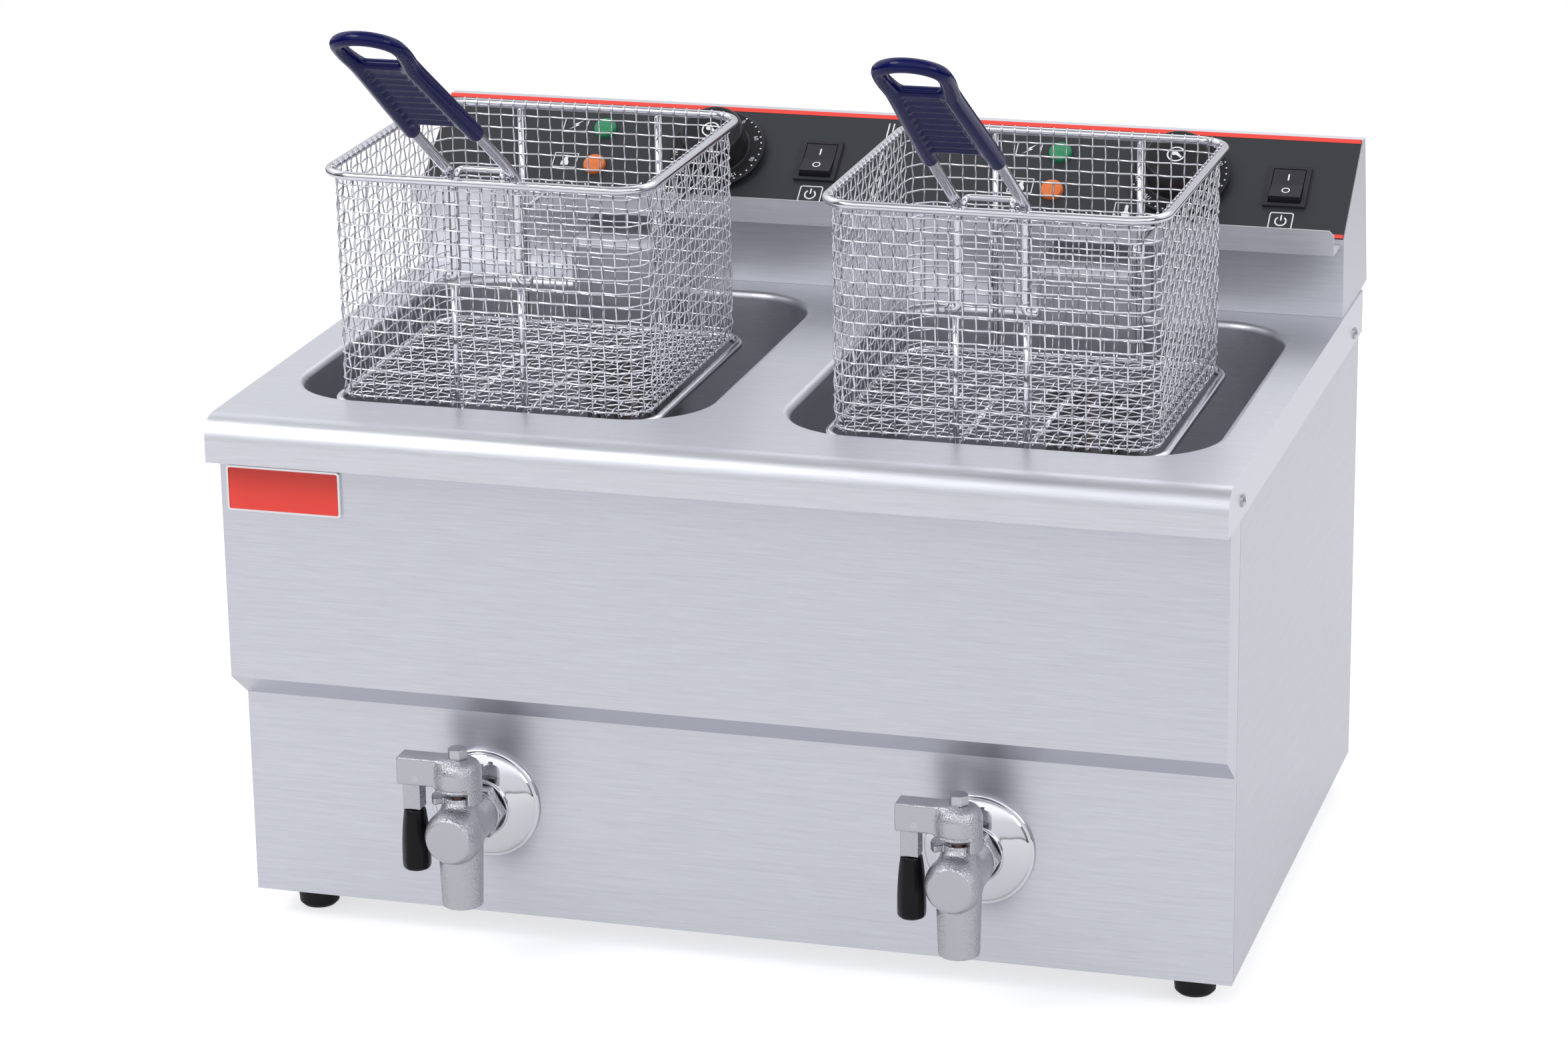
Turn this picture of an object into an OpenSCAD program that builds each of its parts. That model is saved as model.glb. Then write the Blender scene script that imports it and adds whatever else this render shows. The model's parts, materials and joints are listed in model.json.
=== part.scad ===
// Double-tank countertop electric deep fryer with drain taps and wire baskets.
// Units: millimetres, +Z up, the front faces -Y.
// Modules are drawn with y = 0 at the deck's front lip and z = 0 at the body's
// bottom edge; placed() then moves everything so that the origin is the middle
// of the bounding box, on the plane that the feet stand on.

/* [Body] */
// Width over the deck
body_w = 580; // [560:1:620]
// Depth of the deck from its lip to its rear flange
deck_d = 415.3; // [410:0.1:430]
// Height of the deck's top above the body's bottom edge
deck_z = 297.3; // [280:0.1:320]
// Thickness of the deck sheet
deck_t = 1.5; // [1.2:0.1:2]
// Thickness of the body sheet
sheet = 1.2; // [0.8:0.1:1.5]
// Outer radius of the rolled front edge
nose_r = 13; // [10:0.5:16]
// Height of the folded lip below the deck's top
lip_h = 26; // [20:0.5:32]
// Setback of the upper front panel behind the lip
upper_y = 16; // [12:0.5:20]
// Setback of the lower front panel behind the lip
lower_y = 38.5; // [34:0.5:42]
// Height of the bevel's lower edge
bevel_z = 122; // [110:1:130]
// Height of the bevel
bevel_h = 17; // [12:1:24]
// Rear edge of the front panel's side returns
seam_y = 43; // [43:0.5:46]

/* [Tanks] */
// Inner width of a tank
tank_w = 243; // [220:1:250]
// Inner length of a tank
tank_d = 271; // [260:1:274]
// Front wall of a tank, behind the lip
tank_y = 55; // [54:1:58]
// Corner radius of a tank
tank_r = 45; // [30:1:55]
// Depth of a tank
tank_h = 205; // [185:1:210]
// Radius of the soft edge around a tank's mouth
edge_r = 4; // [3:0.5:5]

/* [Control head] */
// Foot of the head's front wall
head_y = 350; // [348:0.5:352]
// Length of the sloped panel
panel_l = 76.4; // [72:0.1:80]
// Slope of the panel from level
panel_a = 37; // [34:1:40]
// Height of the panel's lower edge above the deck
panel_z = 48; // [46:0.5:52]
// Depth of the strip along the head's top
top_d = 8; // [6:0.5:12]
// Rearmost edge of the head
head_back = 434; // [430:1:440]
// Place of the lamps from the tank's centre
lamp_x = -36; // [-40:1:-32]
// Place of the knob from the tank's centre
knob_x = 40.3; // [38:0.1:44]
// Place of the switch from the tank's centre
switch_x = 105.2; // [100:0.1:108]

/* [Knobs, lamps and switches] */
// Diameter of a knob's grip
knob_d = 40; // [36:1:42]
// Diameter of a knob's dial skirt
dial_d = 60; // [54:1:62]
// Height of a knob
knob_h = 24; // [20:1:25]
// Width of a switch bezel
bezel_w = 25.5; // [24:0.5:27]
// Length of a switch bezel
bezel_l = 30.5; // [30:0.5:32]
// Tilt of a rocker from its middle position
rocker_a = 8; // [6:1:9]
// Diameter of a lamp lens
lamp_d = 14; // [12:0.5:15]

/* [Baskets] */
// Width of a basket between its rim wire's centres
basket_w = 190; // [182:1:198]
// Length of a basket between its rim wire's centres
basket_d = 189; // [182:1:200]
// Height of a basket from its rim to its bottom frame
basket_h = 134; // [125:1:138]
// Corner radius of a basket's rim
basket_r = 20; // [15:1:28]
// Rim's front wire, behind the lip
basket_y = 63; // [61:0.5:66]
// Height of a hanging basket's rim above the deck
basket_z = 127; // [126:1:134]
// Diameter of the rim and frame wires
rim_d = 5; // [4.5:0.5:5.5]
// Thickness of the wire cloth
mesh_t = 1.5; // [1.2:0.1:2]

/* [Handles] */
// Slope of a handle from level
handle_a = 33; // [28:1:36]
// Length of a handle from the rim to its tip's centre line
handle_l = 212; // [200:1:220]
// Where the dipped grip starts along the handle
grip_l0 = 73; // [68:1:80]
// Spacing of a handle's legs
leg_s = 37.6; // [36:0.1:42]
// Diameter of a handle's wire
leg_d = 6; // [5.5:0.5:6.5]
// Diameter of the dipped grip
grip_d = 9.5; // [8.5:0.5:10.5]

/* [Taps] */
// Height of a tap's barrel
tap_z = 67.5; // [64:0.5:70]
// Place of a tap's stem in front of the deck's lip
tap_y = -5; // [-7:0.5:-4]
// Diameter of a tap's outlet at its mouth
outlet_d = 23; // [22:0.5:24]
// Radius of an escutcheon
rose_r = 32.7; // [30:0.1:34]
// Reach of a lever's arm from its stem
arm_l = 34.6; // [33:0.1:36]

/* [Feet and fits] */
// Height of a foot
foot_h = 18; // [14:1:22]
// Diameter of a foot at its top
foot_d = 26; // [22:1:28]
// Radial clearance of a running fit
fit = 0.05; // [0.03:0.01:0.08]
// Clearance between parts of different bodies
gap = 0.3; // [0.25:0.05:0.4]

/* [Hidden] */
$fn = 48;
SIDES = [["left", -1], ["right", 1]];
half_w = body_w / 2;
tank_x = body_w / 4 - 0.4;                  // each tank's centre from the middle
shell_x = half_w - deck_t - gap;             // outer face of the body's sides
rear_y = deck_d - deck_t - gap;              // outer face of the rear panel
panel_front_z = deck_z - deck_t - gap;       // top of the body's panels
tank_floor = deck_z - tank_h;
throat_h = 10;                               // depth of the deck's turned-down mouth
up = [0, -sin(panel_a), cos(panel_a)];       // outward normal of the sloped panel
head_lean = 2;                               // forward lean of the head's front wall
p0 = [head_y - head_lean, deck_z + panel_z]; // lower edge of the sloped panel
p1 = p0 + panel_l * [cos(panel_a), sin(panel_a)];
head_w = body_w - 2;
fascia_t = 0.8;
rail_y = head_y - 25;                        // outer face of the hanger rail's lip
rail_z = deck_z + 44;                        // underside of the hanger rail
rail_lip = 15;
rim_z = deck_z + basket_z;
plate_z = deck_z - 44.3;                             // middle of the nameplate
hook_d = 4;
element_d = 8;
element_legs = [11, 22];                     // half spacing of each hairpin's legs
element_reach = [42, 84];                    // half width of each hairpin
upright_x = 19.7;                            // front uprights of a basket
hook_x = 42.5;
hook_z = rail_z + rail_lip + gap + hook_d / 2;
hook_y = rail_y + sheet + gap + hook_d / 2;
leg_z = 2;                                   // where the handle legs bend, above the rim
wire_l = 185;                                // handle wire inside the grip, from the rim
leg_drop = 58;                               // handle legs below the rim
leg_y = rim_d / 2 + mesh_t + leg_d / 2 + 1.2;  // handle legs, behind the rim
wall_y = lower_y - tap_y;                    // lower front panel, from a tap's stem
nose_y = 21.5;                               // a tap's front face, from its stem
barrel_r = 15;
neck_r = 9.5;
dial_h = 6;                                  // face of a dial's skirt, off the panel
cap_r = 12.3;
cap_z0 = 21.5;
cap_z1 = 43;
pin_x = 23.3;
pin_z = 30.8;
foot_x = half_w - 28;
foot_ys = [tank_y + 13, deck_d - 30.3];
element_y = tank_y + tank_d - 15;            // element legs, in front of the tank's rear wall
cover_z = deck_z - 39.3;                     // lower edge of an element cover
tip_y = basket_y + leg_y - handle_l * cos(handle_a) - grip_d / 2;
mid_y = (tip_y + head_back) / 2;

// ---- helpers -------------------------------------------------------------

module placed() { translate([0, -mid_y, foot_h]) children(); }

// A profile drawn as [outward, up], carried round a rounded rectangle w x d
// that stands on the origin with its centre line through it.
module ring(w, d, r) {
    for (s = [0, 1]) rotate(180 * s) {
        translate([w / 2, 0, 0]) rotate([90, 0, 0])
            linear_extrude(d - 2 * r, center = true) children();
        translate([0, d / 2, 0]) rotate([90, 0, 90])
            linear_extrude(w - 2 * r, center = true) children();
        for (m = [0, 1]) mirror([m, 0, 0])
            translate([w / 2 - r, d / 2 - r, 0])
                rotate_extrude(angle = 90) translate([r, 0]) children();
    }
}

// Rounded rectangle, centred.
module pad(w, d, r) {
    square([w - 2 * r, d], center = true);
    square([w, d - 2 * r], center = true);
    for (x = [-1, 1], y = [-1, 1])
        translate([x * (w / 2 - r), y * (d / 2 - r)]) circle(r);
}

// Moves +Z along the unit vector w, with +X along the unit vector u.
module framed(o, u, w) {
    v = cross(w, u);
    multmatrix([[u.x, v.x, w.x, o.x], [u.y, v.y, w.y, o.y],
                [u.z, v.z, w.z, o.z], [0, 0, 0, 1]]) children();
}

function unit(v) = v / norm(v);
function side_of(w) = unit(cross(w, abs(w.z) < 0.9 ? [0, 0, 1] : [1, 0, 0]));

// A round wire of diameter d through points p, with true bends of radius r, or
// with a small ball at each corner where r is 0.
// Its runs lie along X, Y or Z; walk() takes slanted ones.
module wire(p, d, r) {
    n = len(p);
    dirs = [for (i = [0:n - 2]) unit(p[i + 1] - p[i])];
    turn = [for (i = [0:n - 1]) i == 0 || i == n - 1 ? 0
            : acos(min(1, max(-1, dirs[i - 1] * dirs[i])))];
    cut = [for (t = turn) r * tan(t / 2)];
    for (i = [0:n - 2]) {
        a = p[i] + dirs[i] * cut[i];
        b = p[i + 1] - dirs[i] * cut[i + 1];
        framed(a, side_of(dirs[i]), dirs[i]) cylinder(d = d, h = norm(b - a));
    }
    for (i = [1:1:n - 2]) if (r == 0) translate(p[i]) sphere(d = d + 0.3);
    else {
        side = unit(dirs[i] - dirs[i - 1] * cos(turn[i]));
        a = p[i] - dirs[i - 1] * cut[i];
        framed(a + side * r, -side, cross(-side, dirs[i - 1]))
            rotate_extrude(angle = turn[i]) translate([r, 0]) circle(d = d);
    }
}

// A round wire drawn like a turtle's walk from the origin along +Z: each step is
// [length, turn, bend radius, roll before the turn], and a turn leans to +X.
// A slightly larger ball at each joint ties the straight and the bent pieces.
module walk(d, steps, i = 0) {
    if (i < len(steps)) {
        run = steps[i][0];
        a = steps[i][1];
        r = steps[i][2];
        cylinder(d = d, h = run);
        if (i > 0) sphere(d = d + 0.12);
        if (a > 0) translate([0, 0, run]) rotate([0, 0, steps[i][3]]) {
            sphere(d = d + 0.12);
            translate([r, 0, 0]) rotate([90, 0, 180])
                rotate_extrude(angle = a) translate([r, 0]) circle(d = d);
            translate([r, 0, 0]) rotate([0, a, 0]) translate([-r, 0, 0]) walk(d, steps, i + 1);
        }
    }
}

// Places children on the sloped panel: x across, s up along it, out along +Z.
module on_panel(x, s, out = 0) {
    translate([x, p0.x, p0.y]) rotate([panel_a, 0, 0]) translate([0, s, out]) children();
}

module tank_at(side) {
    translate([side * tank_x, tank_y + tank_d / 2, 0]) children();
}

module basket_at(side) {
    translate([side * tank_x, basket_y, rim_z]) children();
}

module tap_at(side) {
    translate([side * tank_x, tap_y, tap_z]) children();
}

// ---- deck and tanks ------------------------------------------------------

// Side view of the deck's top with its rolled nose, as a thick line.
module nose_outline(inset) {
    r = nose_r - inset;
    translate([nose_r, deck_z - nose_r]) intersection() {
        circle(r);
        translate([-nose_r, 0]) square(nose_r);
    }
    translate([inset, deck_z - lip_h]) square([nose_r - inset, lip_h - nose_r]);
    translate([nose_r, deck_z - lip_h]) square([deck_d - nose_r - inset, lip_h - inset]);
}

module deck() {
    color("silver") difference() {
        union() {
            // rolled nose, top and rear flange
            rotate([90, 0, 90]) linear_extrude(body_w - 2 * deck_t, center = true)
                difference() {
                    nose_outline(0);
                    nose_outline(deck_t);
                    translate([nose_r, deck_z - lip_h - 1])
                        square([deck_d - nose_r - deck_t, 1.01]);
                    translate([deck_t, deck_z - lip_h - 1]) square([nose_r, 1.01]);
                }
            // side flanges
            for (s = [-1, 1]) translate([s * (half_w - deck_t / 2), 0, 0])
                rotate([90, 0, 90]) linear_extrude(deck_t, center = true) nose_outline(0);
            // turned-down mouths
            for (s = [-1, 1]) tank_at(s) translate([0, 0, deck_z])
                ring(tank_w, tank_d, tank_r) translate([0, -throat_h])
                    square([edge_r, throat_h]);
        }
        for (s = [-1, 1]) tank_at(s) {
            translate([0, 0, deck_z - throat_h - 1])
                linear_extrude(throat_h + 2) pad(tank_w, tank_d, tank_r);
            // soft edge
            translate([0, 0, deck_z]) ring(tank_w, tank_d, tank_r)
                difference() {
                    translate([-1, -edge_r]) square([edge_r + 1, edge_r + 1]);
                    translate([edge_r, -edge_r]) circle(edge_r);
                }
            // outside of the throat below the sheet
            translate([0, 0, deck_z]) ring(tank_w, tank_d, tank_r) {
                translate([deck_t, -throat_h - 1]) square([edge_r, throat_h + 1 - edge_r]);
                translate([edge_r, -edge_r]) circle(edge_r - deck_t);
            }
        }
        // cable slot under the head
        translate([-60, head_y + 15, deck_z - 5]) cube([120, 30, 10]);
        // side screw holes
        screw_places() cylinder(r = 2.2, h = 12, center = true);
    }
}

// Side screws of the deck, with +Z pointing outwards from the side.
module screw_places() {
    for (s = [-1, 1], yz = [[36.5, deck_z - 15.5], [deck_d - 29.3, deck_z - 19]])
        translate([s * half_w, yz.x, yz.y]) rotate([0, s * 90, 0]) children();
}

module side_screws() {
    color("gainsboro") screw_places() {
        difference() {
            rotate_extrude() difference() {
                intersection() {
                    translate([0, -4.6]) circle(6.6);
                    square([3.6, 3]);
                }
            }
            for (a = [0, 90]) rotate(a) translate([0, 0, 1.7])
                cube([3.4, 0.7, 1.4], center = true);
        }
        translate([0, 0, -7]) cylinder(r = 2, h = 7);
    }
}

// Well that hangs under the deck's mouth, with a drain hole at its front.
module tank(side) {
    well_z = deck_z - throat_h;
    floor_r = 12;
    color("lightgray") tank_at(side) difference() {
        union() {
            translate([0, 0, tank_floor])
                ring(tank_w, tank_d, tank_r) {
                    translate([0, floor_r]) square([sheet, tank_h - throat_h - floor_r]);
                    translate([-floor_r, floor_r]) difference() {
                        circle(floor_r + sheet);
                        circle(floor_r);
                        translate([-99, -50]) square([99, 99]);
                        translate([-1, 0]) square([99, 99]);
                    }
                    translate([-floor_r - 1, -sheet]) square([1.1, sheet]);
                    // collar round the throat
                    translate([deck_t + 0.1, tank_h - throat_h])
                        square([sheet, throat_h - edge_r - 0.5]);
                    translate([0, tank_h - throat_h - sheet])
                        square([deck_t + 0.1 + sheet, sheet]);
                }
            translate([0, 0, tank_floor - sheet]) linear_extrude(sheet)
                pad(tank_w - 2 * floor_r, tank_d - 2 * floor_r, tank_r - floor_r);
        }
        translate([0, drain_y() - tank_y - tank_d / 2, tank_floor]) cylinder(r = 9.5, h = 9, center = true);
    }
}

function drain_y() = tank_y + 30;

// Elbow pipe from a tank's floor to its tap.
module drains() {
    color("darkgray") for (s = [-1, 1]) translate([s * tank_x, 0, 0]) {
        r = 12;
        a = [0, drain_y(), tank_floor - sheet - 0.05];
        b = [0, drain_y(), tap_z];
        c = [0, lower_y + sheet + gap, tap_z];
        difference() {
            union() {
                wire([a, b, c], 22, r);
                translate(a - [0, 0, 3]) cylinder(r = 17, h = 3);
                translate(c) rotate([-90, 0, 0]) cylinder(r = 15, h = 7, $fn = 6);
            }
            wire([a + [0, 0, 1], b, c - [0, 1, 0]], 19, r);
        }
    }
}

// ---- body shell ----------------------------------------------------------

// Side view of the front panel's face line, grown inwards by t.
module front_outline(t) {
    k = t * tan(atan((lower_y - upper_y) / bevel_h) / 2);
    polygon([[upper_y + t, panel_front_z], [upper_y + t, bevel_z + bevel_h + k],
             [lower_y + t, bevel_z + k], [lower_y + t, 0],
             [seam_y, 0], [seam_y, panel_front_z]]);
}

module front_panel() {
    color("silver") difference() {
        union() {
            rotate([90, 0, 90]) linear_extrude(2 * (shell_x - sheet), center = true)
                difference() { front_outline(0); front_outline(sheet); }
            for (s = [-1, 1]) translate([s * (shell_x - sheet / 2), 0, 0])
                rotate([90, 0, 90]) linear_extrude(sheet, center = true) front_outline(0);
        }
        for (s = [-1, 1]) tap_at(s) rotate([-90, 0, 0]) cylinder(r = 10.3, h = 99);
        screw_places() cylinder(r = 2.2, h = 12, center = true);
    }
}

module side_panel(side) {
    color("silver") difference() {
        translate([side * (shell_x - sheet / 2), 0, 0])
            rotate([90, 0, 90]) linear_extrude(sheet, center = true)
                translate([seam_y + 0.4, 0]) square([rear_y - seam_y - 0.4, panel_front_z]);
        screw_places() cylinder(r = 2.2, h = 12, center = true);
    }
}

module rear_panel() {
    w = 2 * (shell_x - sheet - 0.1);
    color("silver") difference() {
        translate([-w / 2, rear_y - sheet, 0]) cube([w, sheet, panel_front_z]);
        for (s = [-1, 1], i = [0:7])
            translate([s * 150 - 45, rear_y - 5, 150 + i * 12]) cube([90, 9, 4]);
        translate([gland_x(), rear_y, gland_z()]) rotate([90, 0, 0])
            cylinder(r = 8.2, h = 20, center = true);
    }
}

function gland_x() = half_w - 60;
function gland_z() = 40;

module base_plate() {
    w = 2 * (shell_x - sheet - 0.1);
    color("darkgray") difference() {
        translate([-w / 2, lower_y + sheet + 0.1, 0])
            cube([w, rear_y - lower_y - 2 * sheet - 0.2, sheet]);
        foot_places() cylinder(r = 3.2, h = 9, center = true);
    }
}

module foot_places() {
    for (x = [-1, 1], y = foot_ys) translate([x * foot_x, y, 0]) children();
}

module feet() {
    color("#222222") foot_places() rotate_extrude() difference() {
        union() {
            polygon([[0, -foot_h], [foot_d / 2 - 3.5, -foot_h], [foot_d / 2 - 1.5, -foot_h + 2],
                     [foot_d / 2, -1], [foot_d / 2, 0], [0, 0]]);
        }
        translate([0, -foot_h - 1]) square([5.5, foot_h - 4]);
        translate([0, -foot_h]) square([3.2, foot_h + 1]);
    }
}

module foot_bolts() {
    color("gray") foot_places() {
        translate([0, 0, -9]) cylinder(r = 4.6, h = 3.9);
        translate([0, 0, -9]) cylinder(r = 2.9, h = 16);
        translate([0, 0, sheet + 0.1]) cylinder(r = 5, h = 4, $fn = 6);
    }
}

module cable_gland() {
    color("#303236") translate([gland_x(), rear_y, gland_z()]) rotate([-90, 0, 0]) difference() {
        union() {
            translate([0, 0, -12]) cylinder(r = 8, h = 12);
            cylinder(r = 12, h = 5, $fn = 6);
            translate([0, 0, 5]) cylinder(r1 = 10.5, r2 = 8.5, h = 9);
            translate([0, 0, -sheet - 5]) cylinder(r = 11, h = 4.8, $fn = 6);
        }
        translate([0, 0, -13]) cylinder(r = 5, h = 30);
    }
}

module nameplate() {
    color("#c8322c") translate([-half_w + 40, upper_y, plate_z]) {
        w = 68;
        h = 26.6;
        translate([-w / 2, -1.5, -h / 2]) cube([w, 1.45, h]);
        rotate([90, 0, 0]) translate([0, 0, 1.5]) linear_extrude(0.7) difference() {
            square([w, h], center = true);
            square([w - 2.4, h - 2.4], center = true);
        }
    }
}

// ---- control head --------------------------------------------------------

// Side view of the head, shrunk by t on its front, slope and top.
module head_outline(t) {
    q = atan(head_lean / panel_z);
    a = (90 + q - panel_a) / 2;
    polygon([[head_y + t, deck_z + 0.1],
             [p0.x + t, p0.y - t * tan(a)],
             [p1.x + t * tan(panel_a / 2), p1.y - t],
             [p1.x + top_d, p1.y - t],
             [head_back, deck_z + 1.7], [head_back - 26, deck_z + 0.1]]);
}

module head_housing() {
    color("silver") difference() {
        union() {
            rotate([90, 0, 90]) linear_extrude(head_w - 2 * sheet, center = true)
                difference() {
                    head_outline(0);
                    head_outline(sheet);
                }
            for (s = [-1, 1]) translate([s * (head_w - sheet) / 2, 0, 0])
                rotate([90, 0, 90]) linear_extrude(sheet, center = true) head_outline(0);
        }
        for (s = [-1, 1]) panel_holes(s);
        // lead holes behind the element covers
        for (s = [-1, 1]) translate([s * tank_x, head_y, deck_z + 20]) rotate([90, 0, 0])
            cylinder(r = 10, h = 9, center = true);
    }
}

module panel_holes(s) {
    on_panel(s * tank_x + knob_x, panel_l / 2, 0) cylinder(r = 5.2, h = 9, center = true);
    for (u = [24, 53]) on_panel(s * tank_x + lamp_x, u, 0) cylinder(r = 5.2, h = 9, center = true);
    on_panel(s * tank_x + switch_x, panel_l / 2 - 2, 0)
        cube([bezel_w - 3.4, bezel_l - 2.4, 9], center = true);
}

module head_back_cover() {
    a = atan((head_back - p1.x - top_d) / (p1.y - deck_z - 1.7));
    color("silver") translate([0, p1.x + top_d, p1.y]) rotate([a, 0, 0])
        translate([-head_w / 2 + sheet + 0.2, -sheet - 0.6, -(p1.y - deck_z - 3) / cos(a)])
            cube([head_w - 2 * sheet - 0.4, sheet, (p1.y - deck_z - 5) / cos(a)]);
}

module control_fascia() {
    color("#222325") difference() {
        on_panel(0, panel_l / 2, fascia_t / 2 + 0.02)
            cube([head_w - 1.2, panel_l - 0.6, fascia_t], center = true);
        for (s = [-1, 1]) panel_holes(s);
    }
}

module hanger_rail() {
    w = head_w - 4;
    back = head_y - head_lean - 0.2;
    color("silver") difference() {
        rotate([90, 0, 90]) linear_extrude(w, center = true) {
            translate([rail_y, rail_z]) square([back - rail_y, sheet]);
            translate([rail_y, rail_z]) square([sheet, rail_lip]);
        }
        for (s = [-1, 1]) translate([s * w / 2, rail_y, rail_z + rail_lip])
            rotate([90, 0, 0]) cylinder(r = 3, h = 9, center = true, $fn = 4);
    }
}

// ---- knobs, lamps, switches ----------------------------------------------

module knob(side) {
    color("#1c1d1f") on_panel(side * tank_x + knob_x, panel_l / 2, fascia_t + gap) difference() {
        rotate_extrude() difference() {
            union() {
                square([dial_d / 2 - 0.6, dial_h]);
                translate([0, 0.6]) square([dial_d / 2, dial_h - 1.2]);
                square([knob_d / 2, knob_h - 1.5]);
                square([knob_d / 2 - 1.5, knob_h]);
                translate([knob_d / 2 - 1.5, knob_h - 1.5]) circle(1.5);
            }
            translate([0, -1]) square([3.02, 12]);
        }
        // recess under the skirt
        translate([0, 0, -1]) difference() {
            cylinder(r = dial_d / 2 - 2, h = dial_h - 1);
            cylinder(r = 8, h = 9, center = true);
        }
    }
}

module spindle(side) {
    color("silver") on_panel(side * tank_x + knob_x, panel_l / 2, 0)
        translate([0, 0, -12]) cylinder(r = 3, h = 12 + fascia_t + gap + 10.9);
}

// Thermostat with its capillary and bulb.
module thermostat(side) {
    x = side * tank_x + knob_x;
    color("darkkhaki") {
        on_panel(x, panel_l / 2, 0) difference() {
            union() {
                translate([0, 0, -sheet - 20.1]) linear_extrude(20) pad(42, 32, 4);
                translate([0, 0, -sheet - 1]) cylinder(r = 5, h = sheet + fascia_t + 0.9);
            }
            translate([0, 0, -12.3]) cylinder(r = 3 + fit, h = 99);
        }
        tx = side * tank_x;
        p = on_panel_point(x, panel_l / 2 - 12, -sheet - 19);
        c = [x, round(p.y), round(p.z)];
        wire([c, [x, c.y, deck_z + 20], [tx, c.y, deck_z + 20],
              [tx, element_y, deck_z + 20], [tx, element_y, tank_floor + 97.7]], 2.4, 0);
        translate([tx, element_y, tank_floor + 27.7]) cylinder(r = 3, h = 75);
    }
}

function on_panel_point(x, s, out) = [x,
    p0.x + s * cos(panel_a) - out * sin(panel_a),
    p0.y + s * sin(panel_a) + out * cos(panel_a)];

// Safety cut-outs inside the head, one for each tank.
module safety_cutouts() {
    color("#d9d2c0") for (s = [-1, 1]) translate([s * tank_x - 85, head_y + 48, deck_z + 20.2]) {
        translate([-15, -12, -20]) cube([30, 24, 34]);
        for (i = [-1, 1]) translate([i * 7, -14, -14]) cube([5, 4, 9], center = true);
    }
}

module lamp(side, s) {
    on_panel(side * tank_x + lamp_x, s, fascia_t + 0.05) rotate_extrude() {
        square([lamp_d / 2, 1.6]);
        difference() {
            translate([0, 4.4 - lamp_d * 0.9]) circle(lamp_d * 0.9);
            translate([-99, -99 + 1.5]) square([198, 99]);
            translate([-99, 0]) square([99, 99]);
            translate([lamp_d / 2 - 0.3, 0]) square(99);
        }
        translate([0, -16]) square([5, 16.1]);
    }
}

module power_lamps() { color("#118a4a") for (s = [-1, 1]) lamp(s, 53); }

module heating_lamps() { color("#d95a1e") for (s = [-1, 1]) lamp(s, 24); }

module switch_bezel(side) {
    color("#1b1b1d") on_panel(side * tank_x + switch_x, panel_l / 2 - 2, fascia_t + 0.05)
        difference() {
            union() {
                translate([-bezel_w / 2, -bezel_l / 2, 0]) cube([bezel_w, bezel_l, 2]);
                translate([-bezel_w / 2 + 2, -bezel_l / 2 + 1.5, -18])
                    cube([bezel_w - 4, bezel_l - 3, 18.1]);
            }
            translate([-9.9, -bezel_l / 2 + 2.2, -14]) cube([19.8, bezel_l - 4.4, 20]);
            for (x = [-1, 1]) translate([x * 9.9, 0, -3]) rotate([0, 90, 0])
                cylinder(r = 1.5 + fit, h = 1.2, center = true);
        }
}

// Rocker with two shallow faces; it rests with its upper half pressed in.
module rocker(side) {
    color("#161618") on_panel(side * tank_x + switch_x, panel_l / 2 - 2, fascia_t + 0.05 - 3)
        rotate([-rocker_a, 0, 0]) {
            l = bezel_l / 2 - 3.6;
            rotate([90, 0, 90]) linear_extrude(18.8, center = true) {
                polygon([[-l, 6.6], [0, 5.2], [l, 6.6], [l - 0.6, 0], [5, -5], [-5, -5], [-l + 0.6, 0]]);
            }
            rotate([0, 90, 0]) cylinder(r = 1.5, h = 20.6, center = true);
        }
}

// ---- heating -------------------------------------------------------------

// Sheet cover over an element's terminals, hooked over the tank's rear edge.
module element_cover_outline(t) {
    front = element_y - 11;
    back = head_y - head_lean - 0.8;
    low = cover_z;
    top = deck_z + 32;
    polygon([[front + t, low + t], [front + t, top - 3 - t * 0.4], [front + 3 + t * 0.4, top - t],
             [back - t, top + 6 - t], [back - t, deck_z + 0.4 + t],
             [front + 22 - t, deck_z + 0.4 + t], [front + 22 - t, low + t]]);
}

module element_cover(side) {
    w = 59;
    color("gainsboro") translate([side * tank_x, 0, 0]) difference() {
        rotate([90, 0, 90]) linear_extrude(w, center = true) element_cover_outline(0);
        rotate([90, 0, 90]) linear_extrude(w - 2 * sheet, center = true)
            element_cover_outline(sheet);
        translate([0, head_y - 5, deck_z + 20]) rotate([90, 0, 0]) cylinder(r = 8, h = 22, center = true);
        translate([0, element_y, cover_z]) cylinder(r = 3, h = 9, center = true);
        for (a = element_legs, s = [-1, 1]) translate([s * a, element_y, cover_z])
            cylinder(r = element_d / 2 + fit, h = 9, center = true);
    }
}

// Two hairpins that run down the rear wall and forward above the tank's floor.
module element(side) {
    color("dimgray") translate([side * tank_x, 0, 0]) for (i = [0, 1]) {
        a = element_legs[i];
        b = element_reach[i];
        y = tank_y + 45;
        z = tank_floor + 26 + 22 * i;
        top = deck_z - 12.3;
        wire([[-a, element_y, top], [-a, element_y, z], [-b, element_y, z], [-b, y, z],
              [b, y, z], [b, element_y, z], [a, element_y, z], [a, element_y, top]],
             element_d, 9);
    }
}

module contactors() {
    color("#e4e2da") for (s = [-1, 1]) translate([s * 70, deck_d - 43.3, sheet + 0.1]) {
        translate([-22.5, -25, 0]) cube([45, 50, 30]);
        translate([-22.5, -18, 29.9]) cube([45, 36, 25]);
    }
}

module terminal_block() {
    color("#cfcabb") translate([half_w - 140, deck_d - 30.3, sheet + 0.1]) difference() {
        translate([-30, -10, 0]) cube([60, 20, 18]);
        for (i = [-2:2]) translate([i * 11.5, 0, 8]) cylinder(r = 3, h = 20);
    }
}

// ---- taps ----------------------------------------------------------------

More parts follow.
